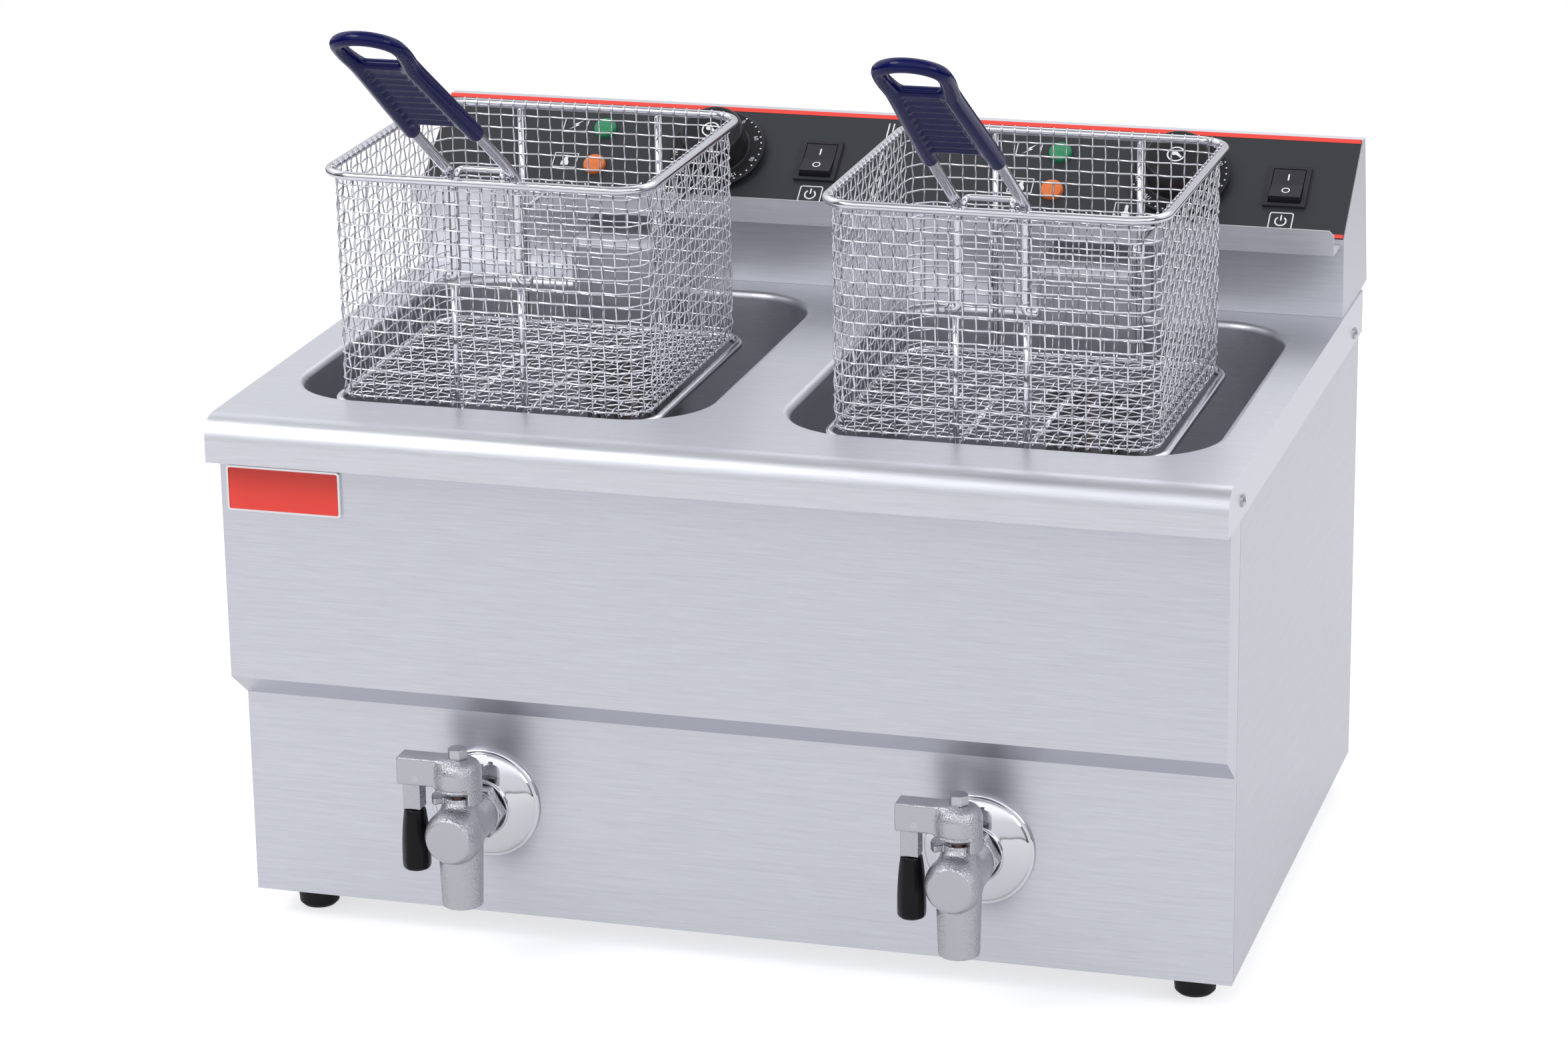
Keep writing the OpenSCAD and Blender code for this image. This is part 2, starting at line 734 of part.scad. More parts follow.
module escutcheon() {
    r = rose_r;
    h = 10.5;
    color("gainsboro") for (s = [-1, 1]) tap_at(s) translate([0, wall_y - 0.1, 0])
        rotate([90, 0, 0]) rotate_extrude() difference() {
            union() {
                square([r - 0.8, 2.4]);
                translate([r - 1.2, 1.2]) circle(1.2);
                translate([0, -1.7 * r + h]) intersection() {
                    circle(r * 1.7, $fn = 96);
                    translate([0, 1.7 * r - h]) square([r - 1, h - 0.4]);
                }
                square([16.2, h]);
            }
            square([barrel_r - 1.2, 30]);
            translate([0, -99 - 0.001]) square([99, 99]);
        }
}

// Cast body: nose, barrel, neck, outlet and tail, bored through.
module tap_body(side) {
    color("silver") tap_at(side) difference() {
        union() {
            // ball nose with a flat face
            intersection() {
                translate([0, -nose_y + 10.3, 0]) sphere(r = 16);
                translate([-20, -nose_y, -20]) cube([40, 30, 40]);
            }
            rotate([-90, 0, 0]) translate([0, 0, -nose_y + 10])
                cylinder(r = barrel_r - 0.6, h = wall_y + nose_y - 21.5);
            translate([0, wall_y - 19, 0]) rotate([-90, 0, 0]) rotate(30)
                cylinder(r = 16.3, h = 8, $fn = 6);
            rotate([-90, 0, 0]) cylinder(r = barrel_r - 1.6, h = wall_y - 0.5);
            // tail through the panel
            rotate([-90, 0, 0]) cylinder(r = 9.2, h = wall_y + 14);
            // neck with a stop segment
            cylinder(r = neck_r, h = cap_z0 - 0.4);
            translate([0, 0, cap_z0 - 4.4]) intersection() {
                cylinder(r = cap_r - 0.5, h = 4);
                rotate(135) translate([0, 0, -1]) cube(40);
            }
            // outlet, with a straight end for a hose
            translate([0, 0, -24]) cylinder(r1 = outlet_d / 2, r2 = outlet_d / 2 + 1, h = 24);
            translate([0, 0, -45]) cylinder(r = outlet_d / 2, h = 21.1);
        }
        translate([0, 0, -12 - fit]) cylinder(r = 8 + fit, h = 24 + 2 * fit);
        translate([0, 0, 5]) cylinder(r = 4 + fit, h = 40);
        rotate([-90, 0, 0]) cylinder(r = 6.5, h = 99);
        translate([0, 0, -60]) cylinder(r = 8, h = 50);
    }
}

// Plug with an elbow passage and its stem; it turns with the lever.
module tap_plug(side) {
    color("goldenrod") tap_at(side) difference() {
        union() {
            translate([0, 0, -12]) cylinder(r = 8, h = 24);
            cylinder(r = 4, h = cap_z1 - 2);
        }
        rotate([0, 90, 0]) translate([0, 0, -20]) cylinder(r = 5, h = 40);
        translate([0, 0, -20]) cylinder(r = 5, h = 18);
        translate([0, 0, cap_z1 - 16]) cylinder(r = 2.55, h = 20);
    }
}

// Domed cap with the lever's arm, slotted for the folding grip.
module tap_cap(side) {
    round_r = 7;
    color("silver") tap_at(side) difference() {
        union() {
            rotate_extrude() {
                translate([0, cap_z0]) square([cap_r, cap_z1 - cap_z0 - round_r]);
                translate([0, cap_z0]) square([cap_r - round_r, cap_z1 - cap_z0]);
                translate([cap_r - round_r, cap_z1 - round_r]) intersection() {
                    circle(round_r);
                    square(round_r);
                }
            }
            translate([-arm_l, -7, 26.3]) cube([arm_l, 14, 16.4]);
            // stop skirt
            intersection() {
                translate([0, 0, cap_z0 - 4.2]) cylinder(r = cap_r, h = 4.3);
                rotate(-47) translate([0, 0, cap_z0 - 9]) cube(20);
            }
        }
        cylinder(r = neck_r + gap, h = cap_z0 + 0.01);
        translate([0, 0, 5]) cylinder(r = 4.02, h = 99);
        translate([-arm_l - 1, -5.3, 20]) cube([arm_l - cap_r - 1.5, 10.6, 20.2]);
        translate([-pin_x, 0, pin_z]) rotate([90, 0, 0]) cylinder(r = 2 + fit, h = 30, center = true);
    }
}

module tap_bolt(side) {
    color("gainsboro") tap_at(side) translate([0, 0, cap_z1 + 0.05]) {
        cylinder(r = 5.7, h = 5.2, $fn = 6);
        cylinder(r = 5, h = 5.6);
        translate([0, 0, -12]) cylinder(r = 2.5, h = 12);
    }
}

module tap_pin(side) {
    color("silver") tap_at(side) translate([-pin_x, 0, pin_z]) rotate([90, 0, 0])
        cylinder(r = 2, h = 14.1, center = true);
}

// Flat link that hangs from the arm's pin and carries the grip.
module tap_link(side) {
    color("silver") tap_at(side) translate([-pin_x, 0, pin_z]) difference() {
        union() {
            rotate([90, 0, 0]) cylinder(r = 5.2, h = 10, center = true);
            translate([-8.6, -5, -20]) cube([10.4, 10, 20]);
            translate([-3.4, 0, -36]) cylinder(r = 3, h = 17);
        }
        rotate([90, 0, 0]) cylinder(r = 2 + fit, h = 20, center = true);
    }
}

module tap_grip(side) {
    z0 = pin_z - 20.1;
    color("#1d1b1e") tap_at(side) translate([-pin_x - 3.4, 0, z0]) rotate_extrude() difference() {
        union() {
            polygon([[0, 0], [6.1, 0], [6.9, -6], [8.1, -24], [8.1, -34.5], [6.6, -36.5], [0, -36.5]]);
        }
        translate([0, -16.5]) square([3.02, 20]);
    }
}

// ---- baskets -------------------------------------------------------------

// Rim, bottom frame, uprights, hooks and the bracket that keeps the handle.
module basket_frame(side) {
    w = basket_w;
    d = basket_d;
    wall = rim_d / 2;
    zb = -basket_h;
    color("gainsboro") basket_at(side) {
        for (z = [0, zb]) translate([0, d / 2, z]) ring(w, d, basket_r) circle(d = rim_d);
        for (x = [-upright_x, upright_x]) translate([x, 0, zb]) cylinder(d = 4, h = basket_h);
        for (x = [-hook_x, hook_x]) {
            translate([x, d, zb]) cylinder(d = 4, h = basket_h);
            // hook over the rail's lip
            y = hook_y - basket_y;
            z = hook_z - rim_z;
            wire([[x - 3, d + 2, zb + 40], [x - 3, d + 2, z], [x - 3, y, z],
                  [x - 3, y, z - 9.5]], hook_d, hook_d / 2 + 0.5);
        }
        // wires under the cloth
        for (x = [-upright_x, upright_x]) translate([x, 0, zb])
            rotate([-90, 0, 0]) cylinder(d = 4, h = d);
        // bracket between the handle's legs
        b = leg_s / 2 - 5.4;
        wire([[-b, 0, 0.5], [-b, 0, 6], [-b, 8, 6], [b, 8, 6], [b, 0, 6], [b, 0, 0.5]], 3.6, 2.5);
    }
}

// Wire cloth, here a plain thin wall of its true size, open at the top.
module basket_mesh(side) {
    w = basket_w - rim_d - 0.1;
    d = basket_d - rim_d - 0.1;
    r = basket_r - rim_d / 2;
    h = basket_h - rim_d / 2 - 0.1;
    color("lightgray") basket_at(side) translate([0, basket_d / 2, -h]) {
        linear_extrude(mesh_t) pad(w, d, r);
        ring(w, d, r) translate([-mesh_t, 0]) square([mesh_t, h]);
    }
}

// Moves +Y along the handle away from the basket, with +Z off its upper face.
module along_handle(side) {
    basket_at(side) translate([0, leg_y, leg_z]) rotate([180 - handle_a, 0, 0])
        mirror([0, 0, 1]) children();
}

module handle_wire(side) {
    bend = 6;
    slope = 90 - handle_a;
    cut = bend * tan(slope / 2);
    color("gainsboro") for (s = [-1, 1]) along_handle(side) translate([s * leg_s / 2, wire_l, 0])
        rotate([90, 90, 0]) walk(leg_d, [[wire_l - cut, slope, bend, 0],
            [leg_drop - cut - 5, 70, 5, s * 90], [7, 0, 0, 0]]);
}

// Dipped grip: two rails, a loop at the tip and a ribbed web.
module handle_grip(side) {
    a = handle_a;
    u = leg_s / 2;
    l1 = handle_l - u;
    color("#15206b") along_handle(side) difference() {
        union() {
            for (s = [-1, 1]) translate([s * u, grip_l0, 0]) rotate([-90, 0, 0])
                cylinder(d = grip_d, h = l1 - grip_l0);
            translate([0, l1, 0]) rotate_extrude(angle = 180) translate([u, 0]) circle(d = grip_d);
            translate([-u, grip_l0 + 12, -1.5]) cube([2 * u, 86, 3]);
            for (i = [0:9]) translate([0, grip_l0 + 17 + i * 8.4, 0]) rotate([0, 90, 0])
                cylinder(d = 4.4, h = 2 * u, center = true);
            translate([0, grip_l0 + 99, 0]) rotate([0, 90, 0])
                cylinder(d = 7, h = 2 * u, center = true);
        }
        for (s = [-1, 1]) translate([s * u, grip_l0 - 1, 0]) rotate([-90, 0, 0])
            cylinder(r = leg_d / 2 + fit, h = 118);
    }
}

// ---- assembly ------------------------------------------------------------

// Sub-part to build, or all

placed() {
    deck();
    drains();  // drain_pipes
    front_panel();
    rear_panel();
    base_plate();
    feet();
    foot_bolts();
    side_screws();
    cable_gland();
    nameplate();
    head_housing();
    head_back_cover();
    control_fascia();
    hanger_rail();
    power_lamps();
    heating_lamps();
    safety_cutouts();
    contactors();
    terminal_block();
    escutcheon();  // escutcheons
    for (q = SIDES) let (n = q[0], s = q[1]) {
        tank(s);
        side_panel(s);
        thermostat(s);
        spindle(s);
        knob(s);
        switch_bezel(s);
        rocker(s);
        element_cover(s);
        element(s);
        tap_body(s);
        tap_plug(s);
        tap_cap(s);
        tap_bolt(s);
        tap_pin(s);
        tap_link(s);
        tap_grip(s);
        basket_frame(s);
        basket_mesh(s);
        handle_wire(s);
        handle_grip(s);
    }
}
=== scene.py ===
"""Looks of a double-tank countertop fryer, laid out as an add-on and run as a script."""

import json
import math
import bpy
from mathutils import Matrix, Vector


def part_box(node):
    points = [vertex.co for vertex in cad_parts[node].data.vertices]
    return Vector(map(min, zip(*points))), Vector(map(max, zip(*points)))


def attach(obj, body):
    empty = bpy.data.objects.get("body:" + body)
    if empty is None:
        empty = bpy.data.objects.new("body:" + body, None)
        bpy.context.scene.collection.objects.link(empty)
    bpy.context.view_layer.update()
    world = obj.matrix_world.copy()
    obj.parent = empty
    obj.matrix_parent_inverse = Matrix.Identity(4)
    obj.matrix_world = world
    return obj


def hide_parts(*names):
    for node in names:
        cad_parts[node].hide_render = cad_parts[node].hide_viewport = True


bl_info = {
    "name": "Countertop Fryer Looks",
    "version": (1, 0, 0),
    "blender": (4, 5, 0),
    "location": "3D View > Sidebar > Fryer",
    "description": "Wire cloth, dipped grips, cast taps, dials and finishes of a double-tank fryer",
    "category": "Object",
}

from types import SimpleNamespace

import bpy
import numpy as np
from mathutils import Matrix, Vector

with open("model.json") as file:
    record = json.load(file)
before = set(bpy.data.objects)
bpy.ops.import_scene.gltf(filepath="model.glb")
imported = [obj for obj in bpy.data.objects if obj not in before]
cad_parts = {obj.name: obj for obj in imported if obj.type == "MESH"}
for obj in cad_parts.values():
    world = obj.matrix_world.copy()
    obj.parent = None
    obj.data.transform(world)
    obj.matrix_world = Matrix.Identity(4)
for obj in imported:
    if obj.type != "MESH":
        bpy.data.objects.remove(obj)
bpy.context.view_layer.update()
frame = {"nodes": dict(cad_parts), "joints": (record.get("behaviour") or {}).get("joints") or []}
MM = 0.001
TINY, FAR = 1e-6, 1e3
ACROSS = np.array([1.0, 0, 0])
APART = 2.01  # a straight over this is the most that the arc at one end of it may take
MOVES, FLATTEST = 3, 0.25  # how often skin moves its points, and the least slope squared
THREAD_SIDES, STAY_SIDES, ROD_SIDES = 6, 16, 20  # sides of the cloth's wires and of thicker ones
BRACKET_WIRE = 3.6
PER_MESH = 4  # points along a wire of the cloth from one crossing to the next
FASCIA_START, FASCIA_BACK, FASCIA_FACE = 0.3, 0.02, 0.82  # up the slope, and off its sheet
STRIP_BACK, LENS_BACK = 0.81, 0.6  # off the same sheet
FINE_INK, INK = 0.1, 0.12  # thickness of a print
ROCKER_FACE, ROCKER_MARK = 5.23, 5.7  # off a rocker's pivot, and along its face
LAMP_X = -36.0  # lamps, from the middle of their half of the panel
DIAL_START, LABEL_STEP, DOT_STEP, DOTS = 60, 38, 9.5, 24  # degrees round a dial
WEB_START, WEB_END, FIRST_RIB, GRIP_START, LOOP_START = 85, 172, 89.5, 74, 198  # up a handle
LOOP_HALF, KNEE_HALF = 16.9, 18.8  # half widths of a handle's loop and of its legs' bends
GRAIN_LEAN, STREAK_SHARE = 0.02, 0.035  # the grain off its axis, and its pull on the streaks
STREAK_TONE, STREAK_ROUGH = 0.16, 0.05  # how far streaks change the colour and the roughness
SIDES = ("left", "right")


# ---- places taken from the frame

def low_high(node):
    """Lowest and highest corner of a CAD node as numpy rows, in millimetres."""
    low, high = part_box(node)
    return np.array(low) / MM, np.array(high) / MM


def joint(name):
    """The record's joint of that name."""
    return next(j for j in frame["joints"] if j["name"] == name)


def pivot(name):
    """Place of that joint, in millimetres."""
    return np.array(joint(name)["pos_m"]) / MM


def stem(side):
    """Crossing of a tap's stem and barrel."""
    return pivot(side + "_tap_turn")


PANEL_TILT = math.atan2(joint("left_knob_turn")["axis"][1], -joint("left_knob_turn")["axis"][2])
PANEL_UP = np.array([0, math.cos(PANEL_TILT), math.sin(PANEL_TILT)])
PANEL_OUT = np.array([0, -math.sin(PANEL_TILT), math.cos(PANEL_TILT)])
FASCIA_LOW, FASCIA_HIGH = low_high("control_fascia")
TANK_X = abs(stem("left")[0])


def panel_origin():
    """Lower edge of the sloped sheet under the fascia, found from the fascia's lowest corner."""
    s, c = math.sin(PANEL_TILT), math.cos(PANEL_TILT)
    return np.array([0, FASCIA_LOW[1] + FASCIA_FACE * s - FASCIA_START * c,
                     FASCIA_LOW[2] - FASCIA_START * s - FASCIA_BACK * c])


def on_plane(origin, up, out):
    """Turns x across, y up a sloped plane and a height off it into points in space."""

    def place(x, y, height):
        return (origin + x[..., None] * ACROSS + y[..., None] * np.asarray(up)
                + height[..., None] * np.asarray(out))

    return place


def panel_place(off):
    """Turns x, the way up the slope and a height into points, from a plane off the panel."""
    return on_plane(panel_origin() + off * PANEL_OUT, PANEL_UP, PANEL_OUT)


# ---- surfaces

def put_mesh(name, points, faces, smooth):
    """New object at the origin from points in millimetres and arrays of 3- or 4-cornered faces."""
    mesh = bpy.data.meshes.new(name)
    points = np.asarray(points, float).reshape(-1, 3) * MM
    faces = [np.asarray(f, np.int32) for f in faces if len(f)]
    loops = np.concatenate([f.ravel() for f in faces])
    sizes = np.concatenate([np.full(len(f), f.shape[1], np.int32) for f in faces])
    starts = np.concatenate([[0], np.cumsum(sizes)[:-1]]).astype(np.int32)
    mesh.vertices.add(len(points))
    mesh.vertices.foreach_set("co", points.astype(np.float32).ravel())
    mesh.loops.add(len(loops))
    mesh.loops.foreach_set("vertex_index", loops)
    mesh.polygons.add(len(sizes))
    mesh.polygons.foreach_set("loop_start", starts)
    mesh.polygons.foreach_set("loop_total", sizes)
    mesh.polygons.foreach_set("use_smooth", np.full(len(sizes), smooth))
    mesh.update(calc_edges=True)
    mesh.validate()
    piece = bpy.data.objects.new(name, mesh)
    bpy.context.scene.collection.objects.link(piece)
    return piece


def add_piece(name, shape, body, slot, finish, *replaced, smooth=True):
    """New piece from (points, faces) with its finish, the body that it moves with and the CAD nodes
    that it stands for. The slot argument is not used."""
    piece = put_mesh(name, *shape, smooth=smooth)
    piece.data.materials.append(finish_of(finish))
    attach(piece, body)
    if replaced:
        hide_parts(*replaced)


def joined(parts):
    """Several (points, faces) pairs as one pair, with the corner numbers moved along."""
    points, faces, start = [], [], 0
    for p, fs in parts:
        p = np.asarray(p, float).reshape(-1, 3)
        faces += [np.asarray(f) + start for f in fs if len(f)]
        points.append(p)
        start += len(p)
    return np.concatenate(points), faces


def ring_faces(rows, columns, closed_rows=False):
    """Quads of a grid of rows x columns points whose columns close on themselves."""
    i = np.arange(rows if closed_rows else rows - 1)[:, None]
    j = np.arange(columns)[None, :]
    nxt = (i + 1) % rows
    a, b = i * columns + j, i * columns + (j + 1) % columns
    c, d = nxt * columns + (j + 1) % columns, nxt * columns + j
    return np.stack(np.broadcast_arrays(a, b, c, d), -1).reshape(-1, 4)


def fans(starts, columns, poles, at_start):
    """Triangles that close rings of corners, each on its own pole. starts holds the first corner
    of each ring, and at_start turns the triangles for rings where a surface begins."""
    j = np.arange(columns)
    a, b = starts[:, None] + j, starts[:, None] + (j + 1) % columns
    pole = np.broadcast_to(poles[:, None], a.shape)
    return np.stack((b, a, pole) if at_start else (a, b, pole), -1).reshape(-1, 3)


def turned(profile, steps, centre=(0, 0, 0), u=(1, 0, 0), v=(0, 1, 0), w=(0, 0, 1)):
    """Surface of revolution: each (r, h) of the profile goes round w at r from the axis, so that
    a point is centre + r (u cos t + v sin t) + h w. Ends with r 0 become single poles."""
    profile = np.asarray(profile, float)
    centre, u, v, w = (np.asarray(k, float) for k in (centre, u, v, w))
    t = np.linspace(0, 2 * math.pi, steps, endpoint=False)[:, None]
    body = profile[profile[:, 0] > TINY]
    grid = (centre + body[:, 0][:, None, None] * (np.cos(t) * u + np.sin(t) * v)
            + body[:, 1][:, None, None] * w)
    points = [grid.reshape(-1, 3)]
    faces = [ring_faces(len(body), steps)]
    for end, row in ((0, 0), (-1, len(body) - 1)):
        if profile[end, 0] <= TINY:
            pole = sum(len(p) for p in points)
            points.append((centre + profile[end, 1] * w)[None])
            faces.append(fans(np.array([row * steps]), steps, np.array([pole]), end == 0))
    return np.concatenate(points), faces


def tubes(paths, radius, columns, up, closed=False):
    """Round wires of one radius along many paths at once. paths is wires x points x 3 and up a
    vector, or one for each wire, that is never along it. A point is p + r (n cos t + b sin t),
    where n is up made square to the path and b is the path's direction crossed with n. Open ends
    close on a pole."""
    paths = np.asarray(paths, float)
    wires, m, _ = paths.shape
    if closed:
        along = np.roll(paths, -1, 1) - np.roll(paths, 1, 1)
    else:
        along = np.gradient(paths, axis=1)
    along /= np.linalg.norm(along, axis=-1, keepdims=True)
    up = np.broadcast_to(np.asarray(up, float), (wires, 3))[:, None]
    n = up - (up * along).sum(-1, keepdims=True) * along
    n /= np.linalg.norm(n, axis=-1, keepdims=True)
    b = np.cross(along, n)
    t = np.linspace(0, 2 * math.pi, columns, endpoint=False)[:, None]
    rings = paths[:, :, None] + radius * (np.cos(t) * n[:, :, None] + np.sin(t) * b[:, :, None])
    first = np.arange(wires) * m * columns
    points = [rings.reshape(-1, 3)]
    faces = [(ring_faces(m, columns, closed) + first[:, None, None]).reshape(-1, 4)]
    if not closed:
        points += [paths[:, 0], paths[:, -1]]
        for end, row in ((0, 0), (1, m - 1)):
            poles = wires * m * columns + end * wires + np.arange(wires)
            faces.append(fans(first + row * columns, columns, poles, end == 0))
    return np.concatenate(points), faces


def bent(corners, radius, steps=8):
    """Polyline through corners with each inner corner rounded: the arc is the quadratic curve from
    radius before the corner to radius after it."""
    corners = np.asarray(corners, float)
    path = [corners[:1]]
    t = np.linspace(0, 1, steps)[:, None]
    for a, b, c in zip(corners[:-2], corners[1:-1], corners[2:]):
        cut = min(radius, *(np.linalg.norm(side) / APART for side in (b - a, c - b)))
        p = b + (a - b) / np.linalg.norm(a - b) * cut
        q = b + (c - b) / np.linalg.norm(c - b) * cut
        path.append((1 - t) ** 2 * p + 2 * t * (1 - t) * b + t ** 2 * q)
    path.append(corners[-1:])
    return np.concatenate(path)


def neighbours(axis, rest):
    """Indices of all grid points along an axis and of the next ones, with rest on other axes."""
    return [tuple(part if i == axis else rest for i in range(3))
            for part in (slice(0, -1), slice(1, None))]


def skin(field, low, high, step):
    """Surface where a distance field is zero, as (points, faces). The field is sampled on a grid;
    each cell that the surface crosses gets the mean of its edges' crossings as its point, each
    crossed grid edge gets a quad of its four cells, and the points are then moved on to the
    surface along the field's slope."""
    low, high = np.asarray(low, float), np.asarray(high, float)
    size = np.ceil((high - low) / step).astype(int) + 1
    grid = np.stack(np.meshgrid(*(low[i] + step * np.arange(size[i]) for i in range(3)),
                                indexing="ij"), -1)
    value = field(grid)
    inside = value < 0
    cells = size - 1
    total, count = np.zeros((*cells, 3)), np.zeros(cells)
    for axis in range(3):
        a, b = neighbours(axis, slice(None))
        crossed = inside[a] != inside[b]
        share = np.where(crossed, value[a] / np.where(crossed, value[a] - value[b], 1), 0)
        place = grid[a].copy()
        place[..., axis] += share * step
        for shift in ((0, 0), (0, 1), (1, 0), (1, 1)):
            s = tuple(slice(o, o + n) for o, n in zip(np.insert(shift, axis, 0), cells))
            total += np.where(crossed[s][..., None], place[s], 0)
            count += crossed[s]
    used = count > 0
    number = np.full(cells, -1)
    number[used] = np.arange(used.sum())
    points = total[used] / count[used][:, None]
    faces = []
    for axis in range(3):
        a, b = neighbours(axis, slice(1, -1))
        crossed = inside[a] != inside[b]
        quad = []
        for shift in ((0, 0), (1, 0), (1, 1), (0, 1)):
            cell = np.argwhere(crossed)
            cell[:, [(axis + 1) % 3, (axis + 2) % 3]] += shift
            quad.append(number[tuple(cell.T)])
        quad = np.stack(quad, -1)
        faces.append(np.where(inside[a][crossed][:, None], quad, quad[:, ::-1]))
    h = step / 4
    for _ in range(MOVES):
        here = field(points)
        slope = np.stack([(field(points + h * e) - field(points - h * e)) / (2 * h)
                          for e in np.eye(3)], -1)
        length = np.maximum((slope ** 2).sum(-1), FLATTEST)
        points = points - np.clip(here / length, -step, step)[:, None] * slope
    return points, [np.concatenate(faces)]


def blend_min(a, b, k):
    """Smaller of two distances, rounded over k where they are alike: a fillet between solids."""
    h = np.maximum(k - np.abs(a - b), 0) / k
    return np.minimum(a, b) - h * h * k / 4


def blend_max(a, b, k):
    """Larger of two distances, rounded over k: a rounded edge where one solid cuts another."""
    return -blend_min(-a, -b, k)


def rod(p, a, b, radius):
    """Distance to a round bar from a to b with round ends."""
    a, b = np.asarray(a, float), np.asarray(b, float)
    t = np.clip(((p - a) @ (b - a)) / ((b - a) @ (b - a)), 0, 1)
    return np.linalg.norm(p - a - t[..., None] * (b - a), axis=-1) - radius


def drum(p, axis, radius, low, high, edge=0.6, centre=(0, 0, 0)):
    """Distance to a cylinder along one axis number, from low to high, with rounded edges.
    radius may change along it: a pair of values for the two ends."""
    q = p - centre
    h = q[..., axis]
    if np.ndim(radius):
        share = np.clip((h - low) / (high - low), 0, 1)
        radius = radius[0] + share * (radius[1] - radius[0])
    r = np.linalg.norm(np.delete(q, axis, -1), axis=-1) - radius
    return blend_max(r, np.maximum(low - h, h - high), edge)


def block(p, low, high, edge):
    """Distance to a box with rounded edges."""
    low, high = np.asarray(low, float), np.asarray(high, float)
    q = np.abs(p - (low + high) / 2) - ((high - low) / 2 - edge)
    return np.linalg.norm(np.maximum(q, 0), axis=-1) + np.minimum(q.max(-1), 0) - edge


# ---- marks cut from flat shapes

def flat_shape(thick, *loops, text="", size=1.0):
    """A flat slab as (points, faces), from closed loops of points or from letters of the built-in
    font. Loops inside one another make holes. It lies on z = 0 and is thick high."""
    curve = bpy.data.curves.new("shape", "FONT" if text else "CURVE")
    if text:
        curve.body, curve.size = text, size
        curve.align_x, curve.align_y = "CENTER", "CENTER"
    else:
        curve.dimensions = "2D"
        curve.fill_mode = "BOTH"
        for loop in loops:
            loop = np.asarray(loop, float)
            spline = curve.splines.new("POLY")
            spline.points.add(len(loop) - 1)
            spline.points.foreach_set("co", np.c_[loop, np.zeros(len(loop)),
                                                  np.ones(len(loop))].ravel())
            spline.use_cyclic_u = True
    curve.extrude = thick / 2
    holder = bpy.data.objects.new("shape", curve)
    mesh = bpy.data.meshes.new_from_object(holder)
    points = np.zeros(len(mesh.vertices) * 3)
    mesh.vertices.foreach_get("co", points)
    mesh.calc_loop_triangles()
    faces = np.zeros(len(mesh.loop_triangles) * 3, np.int32)
    mesh.loop_triangles.foreach_get("vertices", faces)
    bpy.data.meshes.remove(mesh)
    bpy.data.objects.remove(holder)
    bpy.data.curves.remove(curve)
    return points.reshape(-1, 3) + (0, 0, thick / 2), [faces.reshape(-1, 3)]


def shifted(shape, x=0.0, y=0.0, height=0.0, angle=0.0):
    """A flat shape turned by angle about z and then moved."""
    points, faces = shape
    c, s = math.cos(angle), math.sin(angle)
    return points @ np.array([[c, s, 0], [-s, c, 0], [0, 0, 1]]) + (x, y, height), faces


def laid(shape, place):
    """A flat shape put on a surface: place turns its x, y and height into points in space."""
    points, faces = shape
    return place(*points.T), faces


def ring_loop(radius, steps=40, start=0, stop=360):
    """Points round a circle, or along a part of it given in degrees."""
    t = np.radians(np.linspace(start, stop, steps, endpoint=stop - start < 360))
    return radius * np.stack([np.cos(t), np.sin(t)], -1)


def box_loop(w, h, r=0.0):
    """Points round a rectangle w by h about the origin, with corners rounded by r."""
    if r <= 0:
        return np.array([[-w, -h], [w, -h], [w, h], [-w, h]]) / 2
    t = np.linspace(0, math.pi / 2, 7)
    corner = np.stack([np.cos(t), np.sin(t)], -1) * r
    quarter = []
    for sx, sy, c, s in ((1, 1, 1, 0), (-1, 1, 0, 1), (-1, -1, -1, 0), (1, -1, 0, -1)):
        turn = corner @ np.array([[c, s], [-s, c]])
        quarter.append(turn + (sx * (w / 2 - r), sy * (h / 2 - r)))
    return np.concatenate(quarter)


# ---- finishes

def wired(tree, *links):
    """Links nodes, each link given as a node, its output, the next node and its input."""
    for source, output, target, entry in links:
        tree.links.new(source.outputs[output], target.inputs[entry])


def node(tree, kind, **values):
    """New node with its properties set; keys that are socket names set the sockets instead."""
    n = tree.nodes.new("ShaderNode" + kind)
    for key, value in values.items():
        if hasattr(n, key):
            setattr(n, key, value)
        else:
            n.inputs[key.replace("_", " ")].default_value = value
    return n


def group(name, inputs, outputs):
    """New node group from its inputs' names and defaults and its outputs' names; returns it with
    its end nodes. Only an output named Normal is a vector."""
    tree = bpy.data.node_groups.new(name, "ShaderNodeTree")
    for label, default in inputs.items():
        kind = "NodeSocketVector" if np.ndim(default) else "NodeSocketFloat"
        tree.interface.new_socket(label, in_out="INPUT", socket_type=kind).default_value = default
    for label in outputs:
        kind = "NodeSocketVector" if label == "Normal" else "NodeSocketFloat"
        tree.interface.new_socket(label, in_out="OUTPUT", socket_type=kind)
    return tree, tree.nodes.new("NodeGroupInput"), tree.nodes.new("NodeGroupOutput")


def brush_group():
    """Fine streaks of a brushed or rolled sheet: noise pulled out along the grain. Gives a streak
    value and a bump normal."""
    tree, start, end = group("brush_marks", {"Stretch": (0.03, 1.0, 1.0), "Strength": 0.05},
                             ("Streak", "Normal"))
    place = node(tree, "TexCoord")
    scale = node(tree, "VectorMath", operation="MULTIPLY")
    fine = node(tree, "TexNoise", Scale=900.0, Detail=5.0, Roughness=0.7)
    bump = node(tree, "Bump", Distance=0.0002)
    wired(tree, (place, "Object", scale, 0), (start, "Stretch", scale, 1),
          (scale, "Vector", fine, "Vector"), (fine, "Fac", bump, "Height"),
          (start, "Strength", bump, "Strength"), (fine, "Fac", end, "Streak"),
          (bump, "Normal", end, "Normal"))
    return tree


